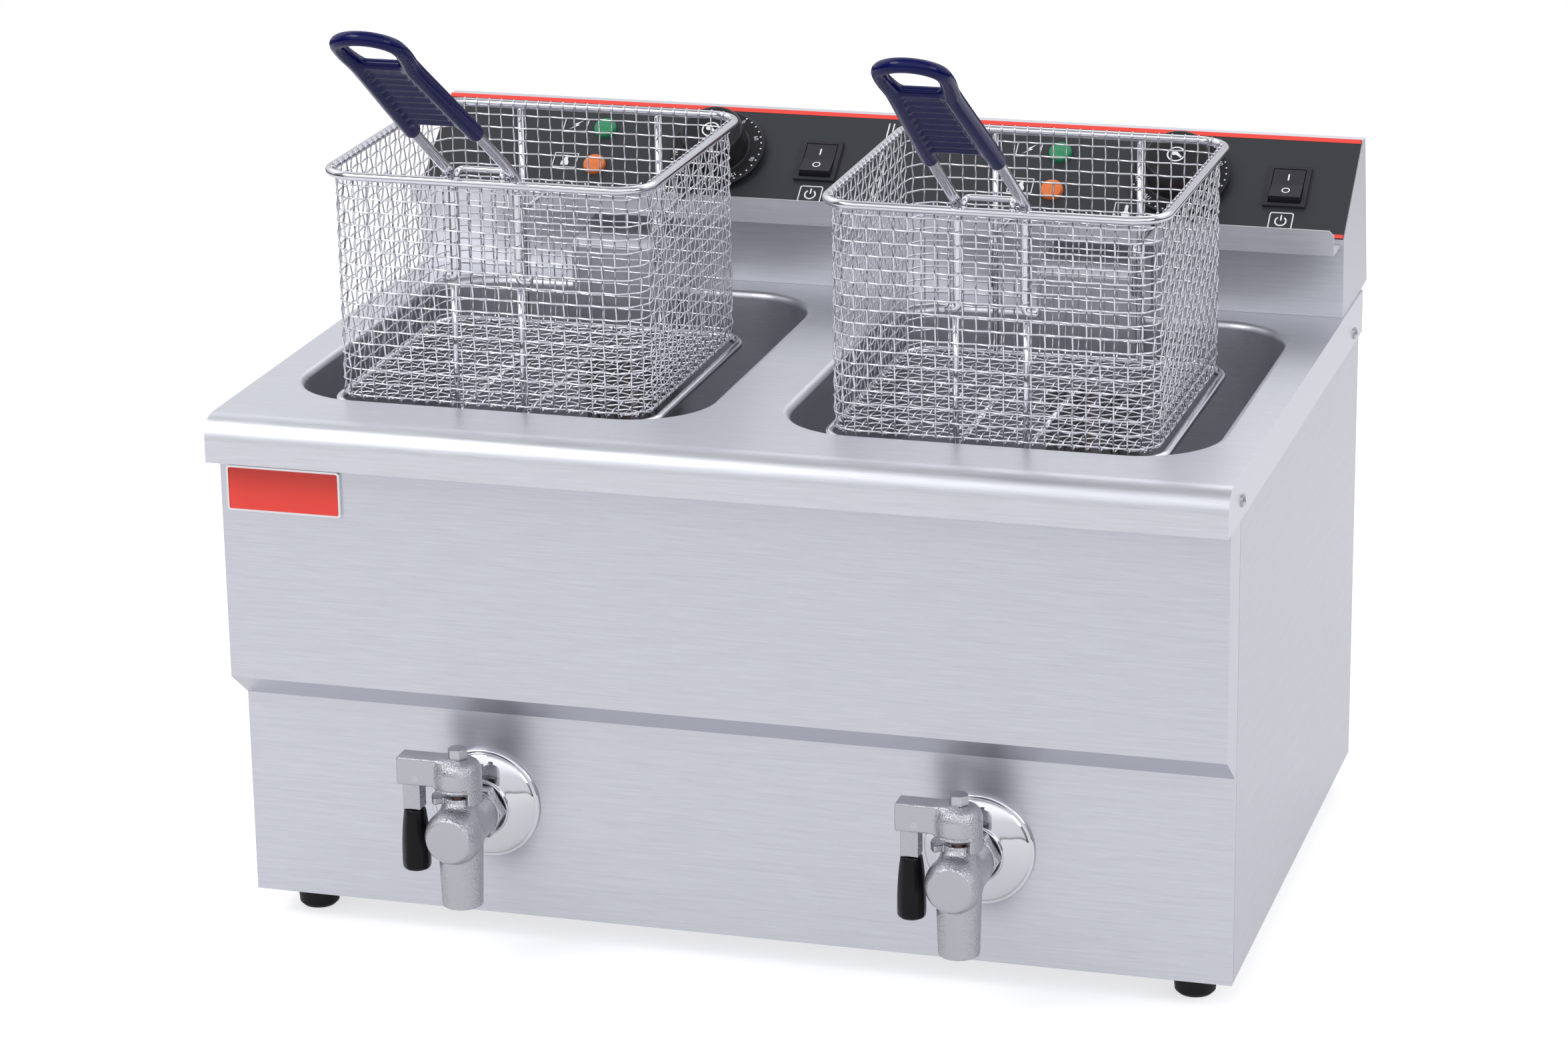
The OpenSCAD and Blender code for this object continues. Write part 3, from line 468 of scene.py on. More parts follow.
def grain_group():
    """Skin of a sand casting: small pits and raised specks, thinned out by a slower noise."""
    tree, start, end = group("cast_grain", {"Size": 900.0, "Strength": 0.4}, ("Speck", "Normal"))
    place = node(tree, "TexCoord")
    cells = node(tree, "TexVoronoi", feature="SMOOTH_F1")
    fine = node(tree, "TexNoise", Detail=4.0, Roughness=0.6)
    mix = node(tree, "Math", operation="MULTIPLY")
    bump = node(tree, "Bump", Distance=0.0006)
    for texture in (cells, fine):
        wired(tree, (place, "Object", texture, "Vector"), (start, "Size", texture, "Scale"))
    wired(tree, (cells, "Distance", mix, 0), (fine, "Fac", mix, 1),
          (mix, "Value", bump, "Height"), (start, "Strength", bump, "Strength"),
          (mix, "Value", end, "Speck"), (bump, "Normal", end, "Normal"))
    return tree


def smudge_group():
    """Faint handling marks: a slow noise in soft patches, times an amount and added to a base."""
    tree, start, end = group("smudge", {"Size": 30.0, "Amount": 0.1, "Base": 0.3}, ("Value",))
    place = node(tree, "TexCoord")
    noise = node(tree, "TexNoise", Detail=5.0, Roughness=0.65)
    add = node(tree, "Math", operation="MULTIPLY_ADD")
    wired(tree, (place, "Object", noise, "Vector"), (start, "Size", noise, "Scale"),
          (noise, "Fac", add, 0), (start, "Amount", add, 1), (start, "Base", add, 2),
          (add, "Value", end, "Value"))
    return tree


GROUPS = {"brush_marks": brush_group, "cast_grain": grain_group, "smudge": smudge_group}


def use_group(tree, name, **values):
    """One of the shared groups as a node in a material."""
    n = tree.nodes.new("ShaderNodeGroup")
    n.node_tree = bpy.data.node_groups.get(name) or GROUPS[name]()
    for key, value in values.items():
        n.inputs[key].default_value = value
    return n


def surface(name, colour, metallic, roughness, **uniform):
    """New material with one Principled shader, whose sockets take the keys with _ for a space;
    returns it with its node tree and the shader."""
    material = bpy.data.materials.new(name)
    material.use_nodes = True
    shader = material.node_tree.nodes["Principled BSDF"]
    uniform.update(Base_Color=(*colour, 1), Metallic=metallic, Roughness=roughness)
    for key, value in uniform.items():
        shader.inputs[key.replace("_", " ")].default_value = value
    return material, material.node_tree, shader


def brushed(name, colour, roughness, grain="X", strength=0.05, anisotropic=0.6, share=1.0):
    """Brushed sheet: streaks along the grain, with the reflection drawn out across it. The grain
    leans a little off its axis, so that it is never square on to a face."""
    colour = [share * c for c in colour]
    material, tree, shader = surface(name, colour, 1.0, roughness, Anisotropic=anisotropic)
    axis = {"X": (1.0, GRAIN_LEAN, 0.0), "Y": (GRAIN_LEAN, 1.0, 0.0)}[grain]
    marks = use_group(tree, "brush_marks", Strength=strength,
                      Stretch=tuple(STREAK_SHARE if k == 1 else 1.0 for k in axis))
    rough = node(tree, "MapRange", To_Min=roughness - STREAK_ROUGH,
                 To_Max=roughness + STREAK_ROUGH)
    tone = node(tree, "Mix", data_type="RGBA")
    for socket, factor in ((6, 1 - STREAK_TONE), (7, 1 + STREAK_TONE)):
        tone.inputs[socket].default_value = (*[min(c * factor, 1) for c in colour], 1)
    side = node(tree, "CombineXYZ", X=axis[0], Y=axis[1], Z=axis[2])
    across = node(tree, "VectorMath", operation="CROSS_PRODUCT")
    facing = node(tree, "NewGeometry")
    wired(tree, (facing, "Normal", across, 0), (side, "Vector", across, 1),
          (across, "Vector", shader, "Tangent"), (marks, "Streak", rough, "Value"),
          (rough, "Result", shader, "Roughness"), (marks, "Streak", tone, 0),
          (tone, 2, shader, "Base Color"), (marks, "Normal", shader, "Normal"))
    return material


def polished(name, colour, roughness, amount=0.06, size=40.0):
    """Bright metal whose roughness wanders a little, as from handling."""
    material, tree, shader = surface(name, colour, 1.0, roughness)
    marks = use_group(tree, "smudge", Size=size, Amount=amount, Base=roughness - amount / 2)
    wired(tree, (marks, "Value", shader, "Roughness"))
    return material


def cast(name, colour, roughness, size, strength):
    """Plated casting: speckled grain that also breaks up the gloss, and flats facing the front
    that were filed smooth."""
    material, tree, shader = surface(name, colour, 1.0, roughness)
    grain = use_group(tree, "cast_grain", Size=size)
    place = node(tree, "TexCoord")
    facing = node(tree, "SeparateXYZ")
    filed = node(tree, "MapRange", From_Min=-0.9, From_Max=-0.99, To_Min=strength,
                 To_Max=strength * 0.06)
    rough = node(tree, "MapRange", To_Min=roughness - 0.08, To_Max=roughness + 0.1, From_Max=0.5)
    wired(tree, (place, "Normal", facing, 0), (facing, "Y", filed, "Value"),
          (filed, "Result", grain, "Strength"), (grain, "Normal", shader, "Normal"),
          (grain, "Speck", rough, "Value"), (rough, "Result", shader, "Roughness"))
    return material


def moulded(name, colour, roughness, size=400.0, strength=0.03, specular=0.5, **uniform):
    """Moulded plastic, rubber, ink or dipped vinyl with a fine skin."""
    material, tree, shader = surface(name, colour, 0.0, roughness, Specular_IOR_Level=specular,
                                     **uniform)
    grain = use_group(tree, "cast_grain", Size=size, Strength=strength)
    marks = use_group(tree, "smudge", Size=60.0, Amount=0.08, Base=roughness - 0.04)
    wired(tree, (grain, "Normal", shader, "Normal"), (marks, "Value", shader, "Roughness"))
    return material


# The deck, the tanks and the head take a lighter copy of the body's steel. The extra lightness is
# painted light: it brightens the deck and the tanks' insides, which the lamps leave darker.
PAINTED_LIGHTER_STEEL, NICKEL = "bright_steel", (0.5, 0.5, 0.53)
LENS = {"size": 260.0, "strength": 0.02, "Transmission_Weight": 0.25, "Coat_Weight": 0.5}
FINISHES = {  # maker, colour or the name of its setting, roughness, and what else the maker takes
    "steel_front": (brushed, "steel", 0.34),
    "steel_side": (brushed, "steel", 0.36, {"grain": "Y", "share": 0.95}),
    "steel_deck": (brushed, PAINTED_LIGHTER_STEEL, 0.34),
    "steel_head": (brushed, PAINTED_LIGHTER_STEEL, 0.42),
    "steel_tank": (brushed, PAINTED_LIGHTER_STEEL, 0.38, {"strength": 0.03, "anisotropic": 0.3}),
    "steel_element": (polished, (0.45, 0.44, 0.42), 0.3),
    "control_black": (moulded, (0.012, 0.0125, 0.0145), 0.4,
                      {"size": 700.0, "strength": 0.04, "specular": 0.12}),
    "black_plastic": (moulded, (0.01, 0.01, 0.011), 0.3, {"specular": 0.3}),
    "knob_black": (moulded, (0.016, 0.016, 0.018), 0.34,
                   {"size": 900.0, "strength": 0.04, "specular": 0.3}),
    "grip_black": (moulded, (0.004, 0.003, 0.004), 0.2, {"size": 300.0, "specular": 0.2}),
    "rubber": (moulded, (0.008, 0.008, 0.009), 0.5,
               {"size": 500.0, "strength": 0.1, "specular": 0.25}),
    "terminal": (moulded, (0.7, 0.66, 0.55), 0.45),
    "vinyl": (moulded, "grip", 0.14, {"size": 260.0, "specular": 0.22}),
    "fastener": (polished, (0.55, 0.55, 0.58), 0.3),
    "chrome": (polished, (0.66, 0.66, 0.69), 0.05, {"amount": 0.03}),
    "nickel_cast": (cast, NICKEL, 0.2, {"size": 1300.0, "strength": 1.0}),
    "nickel_smooth": (cast, NICKEL, 0.26, {"size": 1500.0, "strength": 0.25}),
    "wire": (polished, (0.7, 0.7, 0.74), 0.07, {"amount": 0.05, "size": 90.0}),
    "cloth_wire": (polished, (0.74, 0.74, 0.78), 0.1, {"size": 300.0}),
    "copper": (polished, (0.7, 0.42, 0.3), 0.35),
    "white_ink": (moulded, (0.82, 0.82, 0.84), 0.5),
    "silver_ink": (polished, (0.8, 0.8, 0.82), 0.3),
    "red_ink": (moulded, "accent", 0.42),
    "green_lens": (moulded, "power_lamp", 0.15, LENS),
    "orange_lens": (moulded, "heating_lamp", 0.15, LENS),
}
COATS = {  # CAD nodes that keep their shape; a name ending in _ stands for its left and right
    "steel_front": "front_panel rear_panel head_back_cover base_plate",
    "steel_head": "head_housing hanger_rail",
    "steel_deck": "deck",
    "steel_side": "side_panel_",
    "steel_tank": "tank_ drain_pipes element_cover_",
    "steel_element": "element_",
    "control_black": "control_fascia",
    "rubber": "feet cable_gland",
    "fastener": "foot_bolts side_screws safety_cutouts spindle_ tap_pin_ tap_bolt_",
    "terminal": "contactors terminal_block",
    "copper": "thermostat_ tap_plug_",
    "black_plastic": "switch_bezel_ rocker_",
}


def finish_of(name):
    """The named finish, made the first time that it is asked for."""
    material = bpy.data.materials.get(name)
    if material is None:
        make, colour, roughness, *more = FINISHES[name]
        if isinstance(colour, str):
            colour = tuple(getattr(bpy.context.scene.fryer_colour, colour))
        material = make(name, colour, roughness, **dict(*more))
    return material


def coat(finish, name):
    """Gives a CAD node a finish without touching its shape."""
    mesh = frame["nodes"][name].data
    if not mesh.materials:
        mesh.materials.append(None)
    for i in range(len(mesh.materials)):
        mesh.materials[i] = finish_of(finish)


# ---- basket

def rounded_outline(arc, half_x, half_y, radius, outward=0.0):
    """Points along a rounded rectangle by arc length, and the outward normals. arc starts at the
    middle of the front side and goes round counter-clockwise; outward moves points along them."""
    a, b = half_x - radius, half_y - radius
    quarter = math.pi * radius / 2
    lengths = np.array([a, quarter, 2 * b, quarter, 2 * a, quarter, 2 * b, quarter, a])
    ends = np.concatenate([[0], np.cumsum(lengths)])
    arc = np.mod(arc, ends[-1])
    part = np.clip(np.searchsorted(ends, arc, side="right") - 1, 0, 8)
    u = arc - ends[part]
    corner = part % 2 == 1
    turn = (part // 2) * math.pi / 2 - math.pi / 2
    angle = turn + np.where(corner, u / radius, 0)
    normal = np.stack([np.cos(angle), np.sin(angle)], -1)
    starts = np.array([[0, -half_y], [a, -b], [half_x, -b], [a, b], [a, half_y], [-a, b],
                       [-half_x, b], [-a, -b], [-a, -half_y]])
    travel = np.stack([-np.sin(turn), np.cos(turn)], -1)
    straight = starts[part] + u[..., None] * travel
    curved = starts[part] + radius * normal
    base = np.where(corner[..., None], curved, straight)
    return base + np.asarray(outward)[..., None] * normal, normal


def outline_length(half_x, half_y, radius):
    """Length round a rounded rectangle."""
    return 4 * (half_x - radius) + 4 * (half_y - radius) + 2 * math.pi * radius


def middle(low, high):
    """Middle of a box as seen from above, at height 0."""
    return np.array([*(low[:2] + high[:2]) / 2, 0])


def raised(xy, z):
    """Points from x and y, with heights that are spread over them."""
    return np.concatenate([xy, np.broadcast_to(np.asarray(z)[..., None], (*xy.shape[:-1], 1))],
                          -1)


def cloth_walls(low, high, style):
    """Woven wall of a basket. The uprights stand at equal steps round the outline and the rings
    at equal heights; both swing in and out of the sheet as a cosine of the distance along the
    wire in half turns per mesh, opposite each other where they cross. At the top each upright
    bends over the rim and at the bottom it bends in under the floor."""
    centre = middle(low, high)
    outline = (*((high[:2] - low[:2]) / 2 - style.cloth_inset), style.cloth_corner)
    around = outline_length(*outline)
    count = 2 * round(around / style.cloth_pitch / 2)
    step = around / count
    base, top, curl_radius = low[2] + 3.2, high[2], 3.0
    wire, swing = style.cloth_wire / 2, style.cloth_swing
    rows = int((top - base) / step)
    upright = np.arange(count)[:, None]
    z = np.concatenate([base + step * np.arange(PER_MESH * rows + 2) / PER_MESH, [top - 0.5]])
    phase = np.cos(math.pi * ((z - base) / step) + math.pi * upright)
    curl = np.radians(np.linspace(85, 15, 5))
    bend = np.radians(np.linspace(8, 74, 6))
    bend_radius = style.rim_wire / 2 + wire + 0.1
    lengths = []
    for outward, height in (
            (-curl_radius * (1 - np.cos(curl)), base - curl_radius * np.sin(curl)),
            (swing * phase * np.clip((top - z) / 3, 0, 1), z),
            (bend_radius * (1 - np.cos(bend)), top + bend_radius * np.sin(bend))):
        arc = np.repeat(upright * step, len(height), 1)
        xy, normal = rounded_outline(arc, *outline, outward)
        lengths.append(raised(xy, height))
    side = raised(normal[:, 0] @ np.array([[0, 1], [-1, 0]]), 0.0)
    uprights = tubes(np.concatenate(lengths, 1) + centre, wire, THREAD_SIDES, side)
    arc = np.arange(count * PER_MESH) * step / PER_MESH
    row = np.arange(rows + 1)[:, None]
    phase = -np.cos(math.pi * (arc / step) + math.pi * row)
    xy, _ = rounded_outline(np.broadcast_to(arc, phase.shape), *outline, swing * phase)
    rings = tubes(raised(xy, base + step * row) + centre, wire, THREAD_SIDES, (0, 0, 1),
                  closed=True)
    return joined([uprights, rings])


def cloth_floor(low, high, style):
    """Woven floor: two families of parallel wires a mesh apart, each cut to the outline's chord
    and swinging up and down as a cosine of the distance in half turns per mesh."""
    centre = middle(low, high)
    half = (high[:2] - low[:2]) / 2 - style.cloth_inset
    radius, pitch = style.cloth_corner, style.cloth_pitch
    parts = []
    for axis in (0, 1):
        along, across = half[axis], half[1 - axis]
        lines = pitch * np.arange(-int(across / pitch), int(across / pitch) + 1)[:, None]
        lines = lines[np.abs(lines[:, 0]) < across - 2]
        into = np.maximum(np.abs(lines) - (across - radius), 0)
        chord = along - radius + np.sqrt(radius ** 2 - into ** 2) - 2.2
        u = chord * np.linspace(-1, 1, int(2 * along / pitch * PER_MESH))
        swing = (1, -1)[axis] * style.cloth_swing
        height = low[2] + 0.9 + swing * np.cos(math.pi * (u / pitch + np.round(lines / pitch)))
        order = (u, np.broadcast_to(lines, u.shape))[::(1, -1)[axis]]
        paths = np.stack([*order, height], -1) + centre
        parts.append(tubes(paths, style.cloth_wire / 2, THREAD_SIDES, (0, 0, 1)))
    return joined(parts)


def basket_wires(side, style):
    """Frame of a basket about its cloth: rim and bottom ring, rear stays with their hooks over
    the rail, front stays behind the cloth under the handle's feet, two runners under the floor
    and the bracket between the handle's legs."""
    low, high = low_high("basket_mesh_" + side)
    frame_low, frame_high = low_high("basket_frame_" + side)
    rim, stay, ends = style.rim_wire / 2, style.stay_wire / 2, style.bracket / 2
    centre = middle(low, high)
    half = (high[:2] - low[:2]) / 2 + rim + 0.05
    outline = (*half, style.cloth_corner + style.cloth_inset + rim)
    top, bottom = high[2], frame_low[2] + rim
    xy, _ = rounded_outline(np.linspace(0, outline_length(*outline), 400, endpoint=False),
                            *outline)
    rings = np.stack([raised(xy, top), raised(xy, bottom)])
    parts = [tubes(rings + centre, rim, ROD_SIDES, (0, 0, 1), closed=True)]
    back, inner = half[1], -half[1] + rim + 2 * style.cloth_inset + stay + 0.15
    tip = frame_high[1] - centre[1] - stay
    level = low_high("hanger_rail")[1][2] + 0.3 + stay
    hook_start, hook_end, stay_end = bottom + 40, level - 9.5, top - 61
    for s in (-1, 1):
        rear, hook, front = s * style.hook_place, s * style.hook_place - 3, s * style.stay_place
        for corners, bend, up in (
                ([(rear, back, bottom), (rear, back, top)], 1, (0, 1, 0)),
                ([(hook, back + 2, hook_start), (hook, back + 2, level), (hook, tip, level),
                  (hook, tip, hook_end)], 3, (1, 0, 0)),
                ([(front, inner, bottom + 1), (front, inner, stay_end)], 1, (0, 1, 0)),
                ([(front, -back, bottom), (front, back, bottom)], 1, (0, 0, 1))):
            parts.append(tubes((bent(corners, bend) + centre)[None], stay, STAY_SIDES, up))
    foot, bar, reach = top + 0.5, top + 6, 8 - back
    loop = [(-ends, -back, foot), (-ends, -back, bar), (-ends, reach, bar), (ends, reach, bar),
            (ends, -back, bar), (ends, -back, foot)]
    parts.append(tubes((bent(loop, 2.5) + centre)[None], BRACKET_WIRE / 2, STAY_SIDES,
                       (0.31, 0.17, 0.94)))
    return joined(parts)


# ---- handle

def handle_frame(side, style):
    """Foot of the handle's slope, and rows for its directions: along it away from the basket,
    across and off its upper face."""
    low, high = low_high("handle_wire_" + side)
    rim_low, rim_high = low_high("basket_mesh_" + side)
    along = np.array([0, -math.cos(style.handle_angle), math.sin(style.handle_angle)])
    foot = np.array([(low[0] + high[0]) / 2, style.leg_back + rim_low[1],
                     rim_high[2] + style.leg_lift])
    return foot, np.stack([along, ACROSS, np.cross(along, ACROSS)])


def half_width(t):
    """Half the distance between the grip's rails at t along the handle, and the loop's round end:
    straight and slowly closing, then a swell, then an ellipse quarter to the tip."""
    knots = np.array([0, 60, 73, 90, 130, 160, 172, 178, 186, 194, 200])
    widths = np.array([18.8, 18.6, 18.2, 17.6, 16.2, 15.1, 14.8, 15.4, 16.6, 17.1, 16.7])
    return np.interp(t, knots, widths)


def rail_line(tip):
    """Centre line of one rail and half the loop as rows (t, x), from the grip's lower end."""
    straight = np.arange(GRIP_START, LOOP_START, 3.0)
    turn = np.linspace(0, math.pi / 2, 10)
    t = np.concatenate([straight, LOOP_START + (tip - LOOP_START) * np.sin(turn[1:])])
    x = np.concatenate([half_width(straight), LOOP_HALF * np.cos(turn[1:])])
    keep = np.convolve(x, [0.25, 0.5, 0.25], "same")
    keep[[0, -1]] = x[[0, -1]]
    return np.stack([t, keep], -1)


def grip_field(style):
    """Distance to a dipped grip in (t, x, o): rods along both rails and round the loop, a thin
    web with round ribs across it and a bar above it, all melted together by the dip."""
    line = rail_line(style.handle_length)

    def field(p):
        q = p.copy()
        q[..., 1] = np.abs(q[..., 1])
        rails = np.full(q.shape[:-1], FAR)
        for (t0, x0), (t1, x1) in zip(line[:-1], line[1:]):
            thin = style.grip_wire / 2 - 0.9 * min(max((t0 - 168) / 24, 0), 1)
            rails = np.minimum(rails, rod(q, (t0, x0, 0), (t1, x1, 0), thin))
        web = block(q, (WEB_START, -19, -1.2), (WEB_END, 19, 1.2), 1.0)
        ribs = np.full(q.shape[:-1], FAR)
        for i in range(int(style.ribs)):
            t = FIRST_RIB + i * style.rib_pitch
            ribs = np.minimum(ribs, rod(q, (t, 0, 0.4), (t, 18, 0.4), 2.5))
        bar = rod(q, (174, 0, 0), (174, 16, 0), 3.1)
        inner = blend_min(blend_min(web, ribs, 2.5), bar, 2.5)
        inner = np.maximum(inner, q[..., 1] - half_width(q[..., 0]))
        return blend_min(rails, inner, 2.2)

    return field


def grip_surface(side, style):
    """The dipped grip's surface in space."""
    foot, axes = handle_frame(side, style)
    step = 0.75
    points, faces = skin(grip_field(style), (66, -24, -7), (220, 24, 7), step)
    return foot + points @ axes, faces


def leg_wires(side, style):
    """The two bare legs: down from inside the grip, round a small bend behind the rim, down the
    wall and outward into a foot."""
    foot, axes = handle_frame(side, style)
    paths = []
    for s in (-1, 1):
        slope = foot + np.array([(t, s * half_width(t), 0) for t in (84, 60, 30)]) @ axes
        knee = foot + ACROSS * s * KNEE_HALF
        down = knee - (0, 0, style.leg_drop)
        paths.append(bent(np.array([*slope, knee, down, down + ACROSS * s * 7]), 6, 9))
    return tubes(np.stack(paths), style.leg_wire / 2, ROD_SIDES, (0.2, 1.0, 0.02))


# ---- taps

def tap_body_field(style):
    """Distance to a tap's casting about its stem: a ball nose with a flat, a barrel and hexagon
    back to the wall, a neck with a stop and an outlet, with fillets where the castings meet."""

    def field(p):
        x, y, z = p[..., 0], p[..., 1], p[..., 2]
        ball = np.linalg.norm(p - (0, 10.3 - style.nose_length, 0), axis=-1) - 16
        ball = blend_max(ball, -style.nose_length - y, 0.8)
        barrel = drum(p, 1, (14.4, 13.2), -8, style.wall - 0.6, 0.5)
        angles = np.radians(30 + 60 * np.arange(6))
        flats = np.max(np.stack([x * np.cos(a) + z * np.sin(a) for a in angles]), 0) - 14.3
        hexagon = blend_max(flats, np.maximum(style.wall - 19 - y, y - style.wall + 11), 0.8)
        neck = drum(p, 2, 9.6, 0, 20.8, 0.5)
        stop = np.maximum((x - y) * 0.7071, (x + y) * 0.7071)
        shelf = blend_max(drum(p, 2, 15.4, 17.2, 20.9), stop, 0.6)
        outlet = drum(p, 2, (11.6, 13.0), -45, -2, 0.8)
        bore = drum(p, 2, 8.2, -60, -30, 0.5)
        solid = blend_min(blend_min(ball, barrel, 3.0), neck, 5.0)
        solid = np.minimum(np.minimum(solid, hexagon), shelf)
        solid = blend_min(solid, outlet, 2.0)
        groove = np.exp(-(x / 0.45) ** 2) * 0.22 * (y < 4)
        return blend_max(solid, -bore, 0.8) + groove

    return field


def tap_cap_field(style):
    """Distance to the domed cap with its lever arm, slotted below for the folding grip."""
    arm = style.arm_length

    def field(p):
        x, y = p[..., 0], p[..., 1]
        dome = drum(p, 2, 13.2, 21.6, 42.9, 9.0)
        seam = drum(p, 2, 13.5, 25.2, 26.0, 0.2)
        side = block(p, (-arm, -6.9, 26.4), (0, 6.9, 42.5), 1.0)
        slot = block(p, (-arm - 5, -5.25, 18), (-13.8, 5.25, 40), 0.4)
        a, b = math.radians(-47), math.radians(43)
        sector = np.maximum(x * math.sin(a) - y * math.cos(a), y * math.cos(b) - x * math.sin(b))
        skirt = blend_max(drum(p, 2, 13.2, 17.4, 30, 0.5), sector, 0.4)
        solid = blend_min(np.minimum(dome, seam), blend_max(side, -slot, 0.3), 2.5)
        return blend_max(np.minimum(solid, skirt), -drum(p, 2, 9.9, 0, 21.3, 0.2), 0.3)

    return field


def tap_link_field(p):
    """Distance to the flat link under the arm: a round eye, a plate and the grip's rod."""
    eye = drum(p, 1, 5.1, -4.95, 4.95, 0.5)
    plate = block(p, (-8.6, -4.95, -19.9), (1.8, 4.95, 0), 0.6)
    return np.minimum(blend_min(eye, plate, 1.0), drum(p, 2, 3.0, -30, -18, 0.3, (-3.4, 0, 0)))


def pin_place(side):
    """Middle of the pin that the lever's link hangs from."""
    low, high = low_high("tap_pin_" + side)
    return (low + high) / 2


def grip_turned(side):
    """Black tap grip: a revolved taper with a round foot, its radius eased towards an octagon."""
    profile = [(0, 0), (4.4, 0), (5.5, -0.1), (6.0, -0.5), (6.25, -1.4), (6.6, -4), (7.0, -7),
               (7.5, -12), (7.9, -18), (8.1, -24), (8.15, -30), (8.1, -34.2), (7.7, -35.6),
               (6.9, -36.2), (5.5, -36.5), (0, -36.5)]
    top = pin_place(side) + (-3.4, 0, -20.1)
    points, faces = turned(profile, 64, top)
    flat = points[:, :2] - top[:2]
    angle = np.arctan2(flat[:, 1], flat[:, 0])
    fold = np.mod(angle + math.pi / 8, math.pi / 4) - math.pi / 8
    ease = 1 - 0.35 * (1 - math.cos(math.pi / 8) / np.cos(fold))
    points[:, :2] = top[:2] + flat * ease[:, None]
    return points, [f[:, ::-1] for f in faces]


def smooth_profile(profile, times):
    """Corner cutting of an open polyline, a few times over, with its ends kept."""
    profile = np.asarray(profile, float)
    for _ in range(times):
        a, b = profile[:-1], profile[1:]
        cut = np.stack([0.75 * a + 0.25 * b, 0.25 * a + 0.75 * b], 1).reshape(-1, 2)
        profile = np.concatenate([profile[:1], cut, profile[-1:]])
    return profile


def rose(side, style):
    """Chromed escutcheon: a thin stepped rim, a dished cone and a rolled collar, revolved."""
    profile = [(14.6, 2.0), (14.6, 9.6), (15.2, 10.3), (16.1, 10.4), (16.6, 9.9), (16.8, 9.2),
               (17.6, 8.9), (19.5, 8.3), (22.0, 7.4), (25.0, 6.1), (27.6, 4.8), (29.4, 3.7),
               (30.2, 2.9), (30.5, 2.5), (31.0, 2.5), (31.7, 2.4), (32.4, 1.9), (32.7, 1.2),
               (32.6, 0.4), (31.9, 0.1), (14.6, 0.1)]
    place = stem(side) + (0, style.wall - 0.1, 0)
    return turned(smooth_profile(profile, 3)[::-1], 96, place, (1, 0, 0), (0, 0, 1), (0, -1, 0))


# ---- controls

def knob_centre(side):
    """Where a knob's axis meets the panel's face."""
    pos = pivot(side + "_knob_turn")
    return pos - ((pos - panel_origin()) @ PANEL_OUT) * PANEL_OUT


def knob_body(side, style):
    """Dial: a thin skirt held off the panel by a boss, and a flat-topped cap with a soft edge."""
    skirt, cap, top, z = style.skirt, style.cap, style.knob_height, style.skirt_height
    profile = [(0, 1.4), (9, 1.4), (9, z - 2.4), (skirt - 1, z - 2.2), (skirt, z - 1.9),
               (skirt + 0.1, z - 1.0), (skirt - 0.3, z - 0.3), (skirt - 1.2, z),
               (cap + 1.6, z + 0.1), (cap + 0.6, z + 0.4), (cap + 0.2, z + 1.2), (cap, z + 4),
               (cap - 0.3, top - 2.6), (cap - 1.0, top - 0.9), (cap - 2.2, top - 0.15),
               (cap - 4, top), (0, top)]
    return turned(smooth_profile(profile, 2), 96, knob_centre(side), ACROSS, PANEL_UP, PANEL_OUT)


def knob_marks(side, style):
    """Printed marks of a dial: a ring with a pointer on the cap, and dots and degrees round the
    skirt."""
    top, face = style.knob_height + 0.02, style.skirt_height + 0.03
    bulb = np.concatenate([ring_loop(1.9, 20, 35, 325) + (-1.5, 0.6), [[3.9, -1.5], [4.0, -0.3]]])
    parts = [shifted(flat_shape(INK, ring_loop(5.6), ring_loop(4.7)), height=top),
             shifted(flat_shape(INK, bulb), height=top, angle=math.radians(-20))]
    mid, rim = (style.skirt + style.cap) / 2, style.skirt - 2.0
    for i, label in enumerate(("0", "60", "90", "120", "150", "170", "190")):
        a = math.radians(DIAL_START - LABEL_STEP * i)
        parts.append(shifted(flat_shape(FINE_INK, text=label, size=3.6), mid * math.cos(a),
                             mid * math.sin(a), face, a - math.pi / 2))
    for i in range(DOTS):
        a = math.radians(DIAL_START - DOT_STEP * i)
        parts.append(shifted(flat_shape(FINE_INK, ring_loop(0.55, 12)), rim * math.cos(a),
                             rim * math.sin(a), face))
    return laid(joined(parts), on_plane(knob_centre(side), PANEL_UP, PANEL_OUT))


def panel_marks(x):
    """Printed symbols of one half of the panel, as (points, faces): a mains flash and a heating
    symbol in frames, a thermometer beside the dial and the power sign in a rounded square."""

    def framed(w, h, r=0.4, line=0.55):
        return box_loop(w, h, r), box_loop(w - 2 * line, h - 2 * line, r * 0.6)

    flash = [(-3.6, -3.4), (0.4, 0.2), (-1.0, 0.9), (4.4, 4.2), (1.0, 0.9), (2.4, 0.3)]
    flame = [(-2.3, -3.8), (2.3, -3.8), (2.6, -1.6), (1.6, 0.4), (1.5, 2.6), (0.6, 4.2),
             (-0.5, 3.0), (-1.0, 0.6), (-2.4, -1.2)]
    glass = np.concatenate([ring_loop(2.5, 24, 115, 425) + (0, -2.6),
                            [[1.05, 3.8], [0.5, 4.6], [-0.5, 4.6], [-1.05, 3.8]]])
    arc = np.concatenate([ring_loop(3.7, 30, 125, 415), ring_loop(2.8, 30, 125, 415)[::-1]])
    marks = ((-56, 55, *framed(15.5, 11.5)), (-56, 55, flash), (-56, 27, *framed(15.5, 11.5)),
             (-56, 27, flame), (11.6, 12, *framed(15, 12.5)), (11.6, 12, glass),
             (105, 11.2, *framed(14.5, 12.5, 1.6, 0.7)), (105, 10.8, arc),
             (105, 13.4, box_loop(0.9, 4.2, 0.3)))
    return laid(joined([shifted(flat_shape(FINE_INK, *loops), x + across, up)
                        for across, up, *loops in marks]), panel_place(FASCIA_FACE))


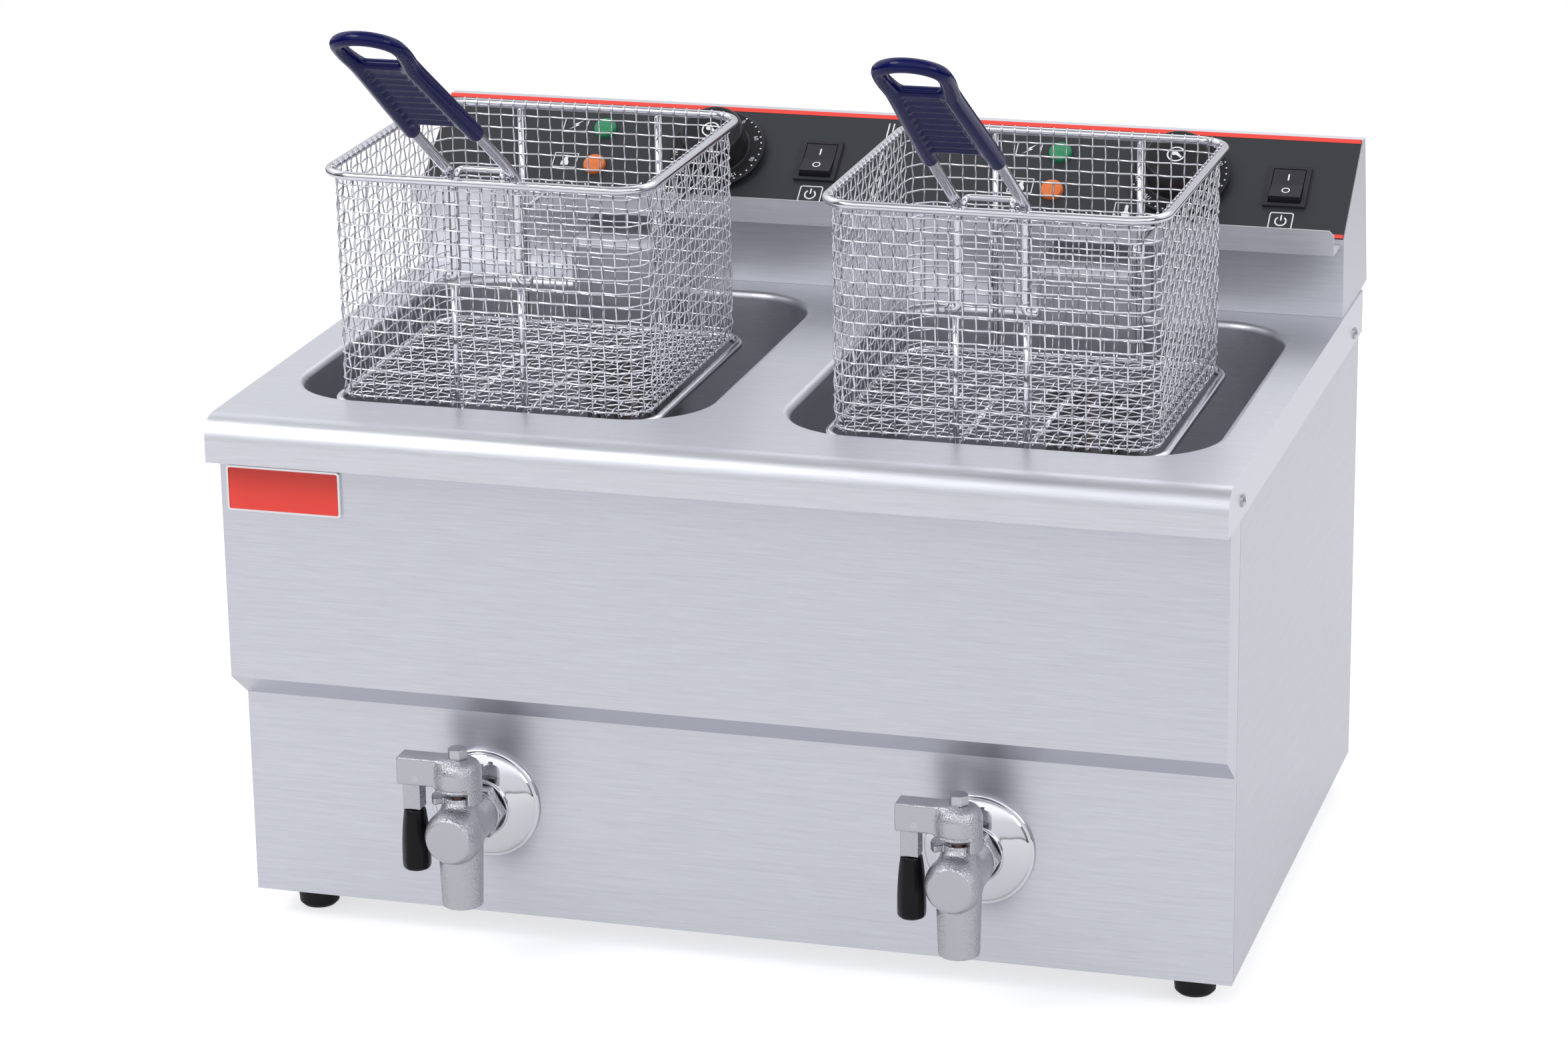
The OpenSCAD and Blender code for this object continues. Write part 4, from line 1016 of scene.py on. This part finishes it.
def rocker_marks(side, style):
    """White I and O on the two shallow faces of a rocker, set from its pivot."""
    lean, slope = style.rocker_lean, style.rocker_slope
    up = math.cos(lean) * PANEL_UP - math.sin(lean) * PANEL_OUT
    out = math.sin(lean) * PANEL_UP + math.cos(lean) * PANEL_OUT
    parts = []
    for face, loops in ((1, [box_loop(0.9, 4.8, 0.2)]), (-1, [ring_loop(2.5), ring_loop(1.8)])):
        along = math.cos(slope) * up + face * math.sin(slope) * out
        normal = math.cos(slope) * out - face * math.sin(slope) * up
        centre = pivot(side + "_rocker_tilt") + ROCKER_FACE * out + ROCKER_MARK * face * along
        parts.append(laid(flat_shape(INK, *loops), on_plane(centre, along, normal)))
    return joined(parts)


def strip(x0, x1, s0, s1):
    """Printed band on the panel between two x and two distances up the slope."""
    shape = flat_shape(INK, box_loop(x1 - x0, s1 - s0))
    return laid(shifted(shape, (x0 + x1) / 2, (s0 + s1) / 2), panel_place(STRIP_BACK))


def lens(x, s, style):
    """Lamp lens: a shallow dome revolved, with a lattice of small pyramids pressed in its top."""
    r = style.lamp / 2
    radii = np.concatenate([[0], np.linspace(0.4, r - 0.9, 14)])
    dome = 3.4 + 1.3 * (1 - (radii / r) ** 2)
    edge = np.array([[r - 0.5, 3.2], [r - 0.1, 2.6], [r, 1.8], [r, 0.3]])
    points, faces = turned(np.concatenate([np.stack([radii, dome], -1), edge])[::-1], 72)
    pitch, depth = 1.5, 0.55
    lattice = np.abs(np.mod(points[:, :2] / pitch, 1) - 0.5).sum(-1)
    points[:, 2] -= depth * lattice * (np.hypot(points[:, 0], points[:, 1]) < r - 1.2)
    return laid(shifted((points, faces), x, s), panel_place(LENS_BACK))


# ---- settings

def mm(name, description, default):
    """Length setting shown in the scene's units; default is in millimetres."""
    return bpy.props.FloatProperty(name=name, description=description, default=default * MM,
                                   unit="LENGTH", precision=5, min=0.0)


def angle(name, description, default):
    """Angle setting; default is in degrees."""
    return bpy.props.FloatProperty(name=name, description=description,
                                   default=math.radians(default), subtype="ANGLE")


def colour(name, description, default):
    """Colour setting."""
    return bpy.props.FloatVectorProperty(name=name, description=description, default=default,
                                         subtype="COLOR", min=0.0, max=1.0)


class FryerClothStyle(bpy.types.PropertyGroup):
    """Sizes of the woven wire and of the frame wires that it meets."""
    cloth_pitch: mm("Mesh pitch", "Distance between neighbouring wires of the cloth", 7.7)
    cloth_wire: mm("Cloth wire", "Diameter of a cloth wire", 1.0)
    cloth_swing: mm("Crimp", "How far a cloth wire swings to each side", 0.5)
    cloth_inset: mm("Cloth inset", "Middle of the cloth, in from its outer face", 0.75)
    cloth_corner: mm("Corner", "Corner radius of the cloth", 16.75)
    rim_wire: mm("Rim wire", "Diameter of the basket's rim", 5.0)
    stay_wire: mm("Stays", "Diameter of the stays, the runners and the hooks", 3.4)
    stay_place: mm("Front stays", "Front stays, from the basket's middle", 19.7)
    hook_place: mm("Rear stays", "Rear stays, from the basket's middle", 42.5)
    bracket: mm("Bracket", "Width of the bracket between the handle's legs", 26.8)


class FryerHandleStyle(bpy.types.PropertyGroup):
    """Sizes of the basket handles."""
    handle_angle: angle("Handle slope", "Slope of a handle from level", 33)
    handle_length: mm("Handle length", "Middle of the loop's wire at the tip, from the rim", 212)
    grip_wire: mm("Dipped wire", "Diameter of the wire with its vinyl", 9.7)
    rib_pitch: mm("Rib pitch", "Distance between neighbouring ribs of the web", 8.7)
    ribs: bpy.props.IntProperty(name="Ribs", description="Ribs across the web", default=10)
    leg_wire: mm("Leg wire", "Diameter of the bare legs", 6.0)
    leg_drop: mm("Leg drop", "How far the legs reach below their bend", 58)
    leg_back: mm("Leg setback", "Legs, behind the cloth's front face", 5.7)
    leg_lift: mm("Leg lift", "Bend of the legs, above the rim's middle", 2.0)


class FryerTapStyle(bpy.types.PropertyGroup):
    """Sizes of the drain taps."""
    nose_length: mm("Nose", "Flat front of a tap, from its stem", 21.5)
    wall: mm("Wall", "Lower front panel, from a tap's stem", 43.5)
    arm_length: mm("Arm", "End of the lever's arm, from the stem", 34.6)


class FryerPanelStyle(bpy.types.PropertyGroup):
    """Sizes of what sits on the control panel."""
    skirt: mm("Dial radius", "Radius of a dial's skirt", 30)
    skirt_height: mm("Dial height", "Face of a dial's skirt, off the panel", 6.6)
    cap: mm("Cap radius", "Radius of a dial's cap", 20)
    knob_height: mm("Cap height", "Top of a dial's cap, off the panel", 24.6)
    lamp: mm("Lamp", "Diameter of a lamp's lens", 14)
    rocker_lean: angle("Rocker lean", "How far a rocker rests pressed in at its upper half", 8)
    rocker_slope: angle("Rocker faces", "Slope of a rocker's two faces", 6.85)


class FryerColourStyle(bpy.types.PropertyGroup):
    """Colours of the steel, the grips and the panel."""
    steel: colour("Steel", "Brushed sheet of the body", (0.63, 0.64, 0.69))
    # Painted light: lighter than the body's steel so that the deck and the tanks' insides come out
    # bright without more light on them.
    bright_steel: colour("Bright steel", "Sheet of the deck, the tanks and the head",
                         (0.7, 0.71, 0.75))
    grip: colour("Grips", "Dipped vinyl of the basket handles", (0.003, 0.005, 0.075))
    accent: colour("Accent", "Stripe over the panel and the nameplate", (0.9, 0.065, 0.045))
    power_lamp: colour("Power lamp", "Lens of the mains lamp", (0.0, 0.2, 0.035))
    heating_lamp: colour("Heating lamp", "Lens of the heating lamp", (0.85, 0.13, 0.01))


def style_of(context, kind):
    """A group's settings, with its lengths in millimetres."""
    values = getattr(context.scene, kind)
    units = {key: values.bl_rna.properties[key].unit for key in values.__annotations__}
    return SimpleNamespace(**{key: getattr(values, key) / (MM if unit == "LENGTH" else 1)
                              for key, unit in units.items()})


# ---- operators

class FRYER_OT_steel(bpy.types.Operator):
    """Give the steelwork, the inside parts and the fasteners their finishes"""
    bl_idname = "fryer.steel"
    bl_label = "Steelwork"

    def execute(self, context):
        for finish, names in COATS.items():
            for name in names.split():
                for end in SIDES if name.endswith("_") else ("",):
                    coat(finish, name + end)
        return {"FINISHED"}


class FRYER_OT_cloth(bpy.types.Operator):
    """Weave the walls and the floor of both baskets"""
    bl_idname = "fryer.cloth"
    bl_label = "Basket cloth"

    def execute(self, context):
        style = style_of(context, "fryer_cloth")
        for side in SIDES:
            body, cad = side + "_basket", "basket_mesh_" + side
            add_piece("cloth_walls_" + side, cloth_walls(*low_high(cad), style), body,
                      "basket_cloth", "cloth_wire", cad)
            add_piece("cloth_floor_" + side, cloth_floor(*low_high(cad), style), body,
                      "basket_cloth", "cloth_wire")
            add_piece("basket_wires_" + side, basket_wires(side, style), body, "basket_wire",
                      "wire", "basket_frame_" + side)
        return {"FINISHED"}


class FRYER_OT_handles(bpy.types.Operator):
    """Make the dipped grips and the bare legs of both handles"""
    bl_idname = "fryer.handles"
    bl_label = "Handles"

    def execute(self, context):
        style = style_of(context, "fryer_handle")
        for side in SIDES:
            add_piece("dipped_grip_" + side, grip_surface(side, style), side + "_basket",
                      "grip_vinyl", "vinyl", "handle_grip_" + side)
            add_piece("handle_legs_" + side, leg_wires(side, style), side + "_basket",
                      "basket_wire", "wire", "handle_wire_" + side)
        return {"FINISHED"}


class FRYER_OT_taps(bpy.types.Operator):
    """Cast the drain taps, their caps, links and grips, and press the escutcheons"""
    bl_idname = "fryer.taps"
    bl_label = "Drain taps"

    def execute(self, context):
        style = style_of(context, "fryer_tap")
        step = 0.6
        body = skin(tap_body_field(style), (-18, -24, -47), (18, 46, 24), step)
        cap = skin(tap_cap_field(style), (-37, -15, 15), (15, 15, 45), step)
        link = skin(tap_link_field, (-11, -7, -32), (7, 7, 7), step)
        for side in SIDES:
            lever, handle = side + "_lever", side + "_lever_handle"
            for name, cad, (points, faces), place, ride, finish in (
                    ("tap_casting_", "tap_body_", body, stem(side), "fryer", "nickel_cast"),
                    ("tap_lever_", "tap_cap_", cap, stem(side), lever, "nickel_cast"),
                    ("tap_eye_", "tap_link_", link, pin_place(side), handle, "nickel_smooth")):
                add_piece(name + side, (points + place, faces), ride, "cast_nickel", finish,
                          cad + side)
            add_piece("tap_handle_" + side, grip_turned(side), handle, "black_plastic",
                      "grip_black", "tap_grip_" + side)
        add_piece("roses", joined([rose(side, style) for side in SIDES]), "fryer",
                  "chrome_plate", "chrome", "escutcheons")
        return {"FINISHED"}


class FRYER_OT_dials(bpy.types.Operator):
    """Turn the dials and print their marks"""
    bl_idname = "fryer.dials"
    bl_label = "Dials"

    def execute(self, context):
        style = style_of(context, "fryer_panel")
        for side in SIDES:
            add_piece("dial_" + side, knob_body(side, style), side + "_knob", "black_plastic",
                      "knob_black", "knob_" + side)
            add_piece("dial_marks_" + side, knob_marks(side, style), side + "_knob",
                      "control_black", "white_ink", smooth=False)
        return {"FINISHED"}


class FRYER_OT_panel(bpy.types.Operator):
    """Print the panel, set the lamps' lenses and mark the rockers"""
    bl_idname = "fryer.panel"
    bl_label = "Control panel"

    def execute(self, context):
        style = style_of(context, "fryer_panel")
        half = FASCIA_HIGH[0] - 0.1
        white = joined([panel_marks(-TANK_X), panel_marks(TANK_X),
                        strip(-1.9, -1.1, 1.0, 69.5), strip(1.1, 1.9, 1.0, 69.5)])
        red = joined([strip(-half, half, 72.9, 76.0), strip(-half, half, 0.5, 3.2)])
        for name, shape, finish in (("panel_print", white, "white_ink"),
                                    ("panel_stripe", red, "red_ink")):
            add_piece(name, shape, "fryer", "control_black", finish, smooth=False)
        for side in SIDES:
            add_piece("rocker_marks_" + side, rocker_marks(side, style), side + "_rocker",
                      "black_plastic", "white_ink", smooth=False)
        for name, s, finish, cad in (("green_lenses", 53, "green_lens", "power_lamps"),
                                     ("orange_lenses", 24, "orange_lens", "heating_lamps")):
            lenses = joined([lens(k * TANK_X + LAMP_X, s, style) for k in (-1, 1)])
            add_piece(name, lenses, "fryer", finish, finish, cad)
        return {"FINISHED"}


class FRYER_OT_plate(bpy.types.Operator):
    """Make the bare nameplate with its silver edge"""
    bl_idname = "fryer.plate"
    bl_label = "Nameplate"

    def execute(self, context):
        low, high = low_high("nameplate")
        x, _, z = (low + high) / 2
        w, _, h = high - low
        place = on_plane((x, high[1], z), (0, 0, 1), (0, -1, 0))
        field = flat_shape(1.5, box_loop(w - 2.2, h - 2.2, 1.2))
        edge = flat_shape(2.1, box_loop(w, h, 2.0), box_loop(w - 2.4, h - 2.4, 1.2))
        add_piece("plate_field", laid(field, place), "fryer", "plate_red", "red_ink",
                  "nameplate", smooth=False)
        add_piece("plate_rim", laid(edge, place), "fryer", "plate_red", "silver_ink",
                  smooth=False)
        return {"FINISHED"}


class FRYER_OT_studio(bpy.types.Operator):
    """Set up the white studio: the world's soft boxes, the lights, the floor and the camera"""
    bl_idname = "fryer.studio"
    bl_label = "Studio"

    def execute(self, context):
        scene = context.scene
        self.world(scene)
        for name, spot, size, power in (("key", (-1.6, -1.6, 2.4), 1.2, 26),
                                        ("fill", (2.4, -1.2, 1.6), 1.0, 12),
                                        ("top", (0.2, 1.6, 2.2), 1.4, 5)):
            data = bpy.data.lights.new(name, "AREA")
            data.shape, data.size, data.energy = "SQUARE", size, power
            lamp = bpy.data.objects.new(name, data)
            aim = Vector((0, 0, 0.3)) - Vector(spot)
            lamp.location, lamp.rotation_euler = spot, aim.to_track_quat("-Z", "Y").to_euler()
            scene.collection.objects.link(lamp)
        self.floor()
        self.camera(scene)
        scene.view_settings.view_transform = "Standard"
        return {"FINISHED"}

    def world(self, scene):
        """Sky that is white to the camera; in reflections it goes by height, from a dim ground to
        bright soft boxes, and round by azimuth, with two dark flags."""
        world = bpy.data.worlds.new("studio")
        scene.world = world
        world.use_nodes = True
        tree = world.node_tree
        tree.nodes.clear()
        out, mix, path = (node(tree, k) for k in ("OutputWorld", "MixShader", "LightPath"))
        back = node(tree, "Background")
        white = node(tree, "Background", Color=(1, 1, 1, 1))
        place, parts = node(tree, "TexCoord"), node(tree, "SeparateXYZ")
        height = node(tree, "MapRange", From_Min=-1.0, From_Max=1.0)
        around = node(tree, "Math", operation="ARCTAN2")
        turn = node(tree, "MapRange", From_Min=-math.pi, From_Max=math.pi)
        boxes = self.ramp(tree, ((0.0, 0.12), (0.47, 0.15), (0.51, 0.85), (0.65, 0.92),
                                 (0.76, 1.4), (0.85, 1.4), (0.92, 0.7), (1.0, 0.6)),
                          (0.985, 0.99, 1.03))
        flags = self.ramp(tree, ((0.0, 1.05), (0.1, 1.0), (0.14, 0.25), (0.2, 0.25), (0.24, 1.0),
                                 (0.38, 1.0), (0.44, 0.78), (0.52, 0.78), (0.58, 1.0),
                                 (0.72, 1.0), (0.76, 0.3), (0.81, 0.3), (0.85, 1.0),
                                 (0.93, 1.05)))
        wired(tree, (place, "Generated", parts, 0), (parts, "Z", height, "Value"),
              (height, "Result", boxes, "Fac"), (parts, "X", around, 0), (parts, "Y", around, 1),
              (around, "Value", turn, "Value"), (turn, "Result", flags, "Fac"),
              (flags, "Color", back, "Strength"), (boxes, "Color", back, "Color"),
              (path, "Is Camera Ray", mix, "Fac"), (back, 0, mix, 1), (white, 0, mix, 2),
              (mix, 0, out, "Surface"))

    def ramp(self, tree, stops, tone=(1, 1, 1)):
        """Colour ramp from pairs of place and brightness."""
        n = node(tree, "ValToRGB")
        elements = n.color_ramp.elements
        while len(elements) < len(stops):
            elements.new(0.5)
        for element, (place, value) in zip(elements, stops):
            element.position, element.color = place, (*[value * c for c in tone], 1)
        return n

    def floor(self):
        """White table that shows only the object's own shadow."""
        corners = np.array([[-1.5, -2.1, 0], [1.4, -2.1, 0], [1.4, 2.3, 0], [-1.5, 2.3, 0]])
        piece = put_mesh("floor", corners / MM, [np.array([[0, 1, 2, 3]])], smooth=False)
        material, tree, shader = surface("floor_white", (0.55, 0.55, 0.56), 0.0, 0.9,
                                         Emission_Color=(0.62, 0.62, 0.62, 1))
        path, glow = node(tree, "LightPath"), node(tree, "Math", operation="MULTIPLY_ADD")
        glow.inputs[1].default_value = 0.55
        wired(tree, (path, "Is Glossy Ray", glow, 0), (path, "Is Camera Ray", glow, 2),
              (glow, "Value", shader, "Emission Strength"))
        piece.data.materials.append(material)

    def camera(self, scene):
        """Camera of the product shot."""
        data = bpy.data.cameras.new("camera")
        data.lens, data.sensor_width = 108.914, 36.0
        camera = bpy.data.objects.new("camera", data)
        scene.collection.objects.link(camera)
        az, el, roll = (math.radians(v) for v in (16.536, 18.008, -0.865))
        back = Vector((math.sin(az) * math.cos(el), -math.cos(az) * math.cos(el), math.sin(el)))
        right = Vector((math.cos(az), math.sin(az), 0))
        up = back.cross(right)
        x = math.cos(roll) * right + math.sin(roll) * up
        y = -math.sin(roll) * right + math.cos(roll) * up
        turn = Matrix((x, y, back)).transposed().to_4x4()
        camera.matrix_world = Matrix.Translation((0.7399, -2.4966, 1.0720)) @ turn
        scene.camera = camera


class FRYER_PT_panel(bpy.types.Panel):
    """Settings and steps of the fryer's looks"""
    bl_label = "Countertop Fryer"
    bl_space_type = "VIEW_3D"
    bl_region_type = "UI"
    bl_category = "Fryer"

    def draw(self, context):
        for kind in STYLES:
            box = self.layout.box()
            values = getattr(context.scene, kind)
            for key in values.__annotations__:
                box.prop(values, key)
        for step in STEPS:
            self.layout.operator("fryer." + step)


STYLES = {"fryer_colour": FryerColourStyle, "fryer_cloth": FryerClothStyle,
          "fryer_handle": FryerHandleStyle, "fryer_tap": FryerTapStyle,
          "fryer_panel": FryerPanelStyle}
STEPS = ("steel", "cloth", "handles", "taps", "dials", "panel", "plate", "studio")
CLASSES = (*STYLES.values(), FRYER_OT_steel, FRYER_OT_cloth, FRYER_OT_handles, FRYER_OT_taps,
           FRYER_OT_dials, FRYER_OT_panel, FRYER_OT_plate, FRYER_OT_studio, FRYER_PT_panel)


def register():
    for kind in CLASSES:
        bpy.utils.register_class(kind)
    for name, kind in STYLES.items():
        setattr(bpy.types.Scene, name, bpy.props.PointerProperty(type=kind))


def unregister():
    for name in STYLES:
        delattr(bpy.types.Scene, name)
    for kind in reversed(CLASSES):
        bpy.utils.unregister_class(kind)


def main():
    register()
    for step in STEPS:
        getattr(bpy.ops.fryer, step)()


if __name__ == "__main__":
    main()
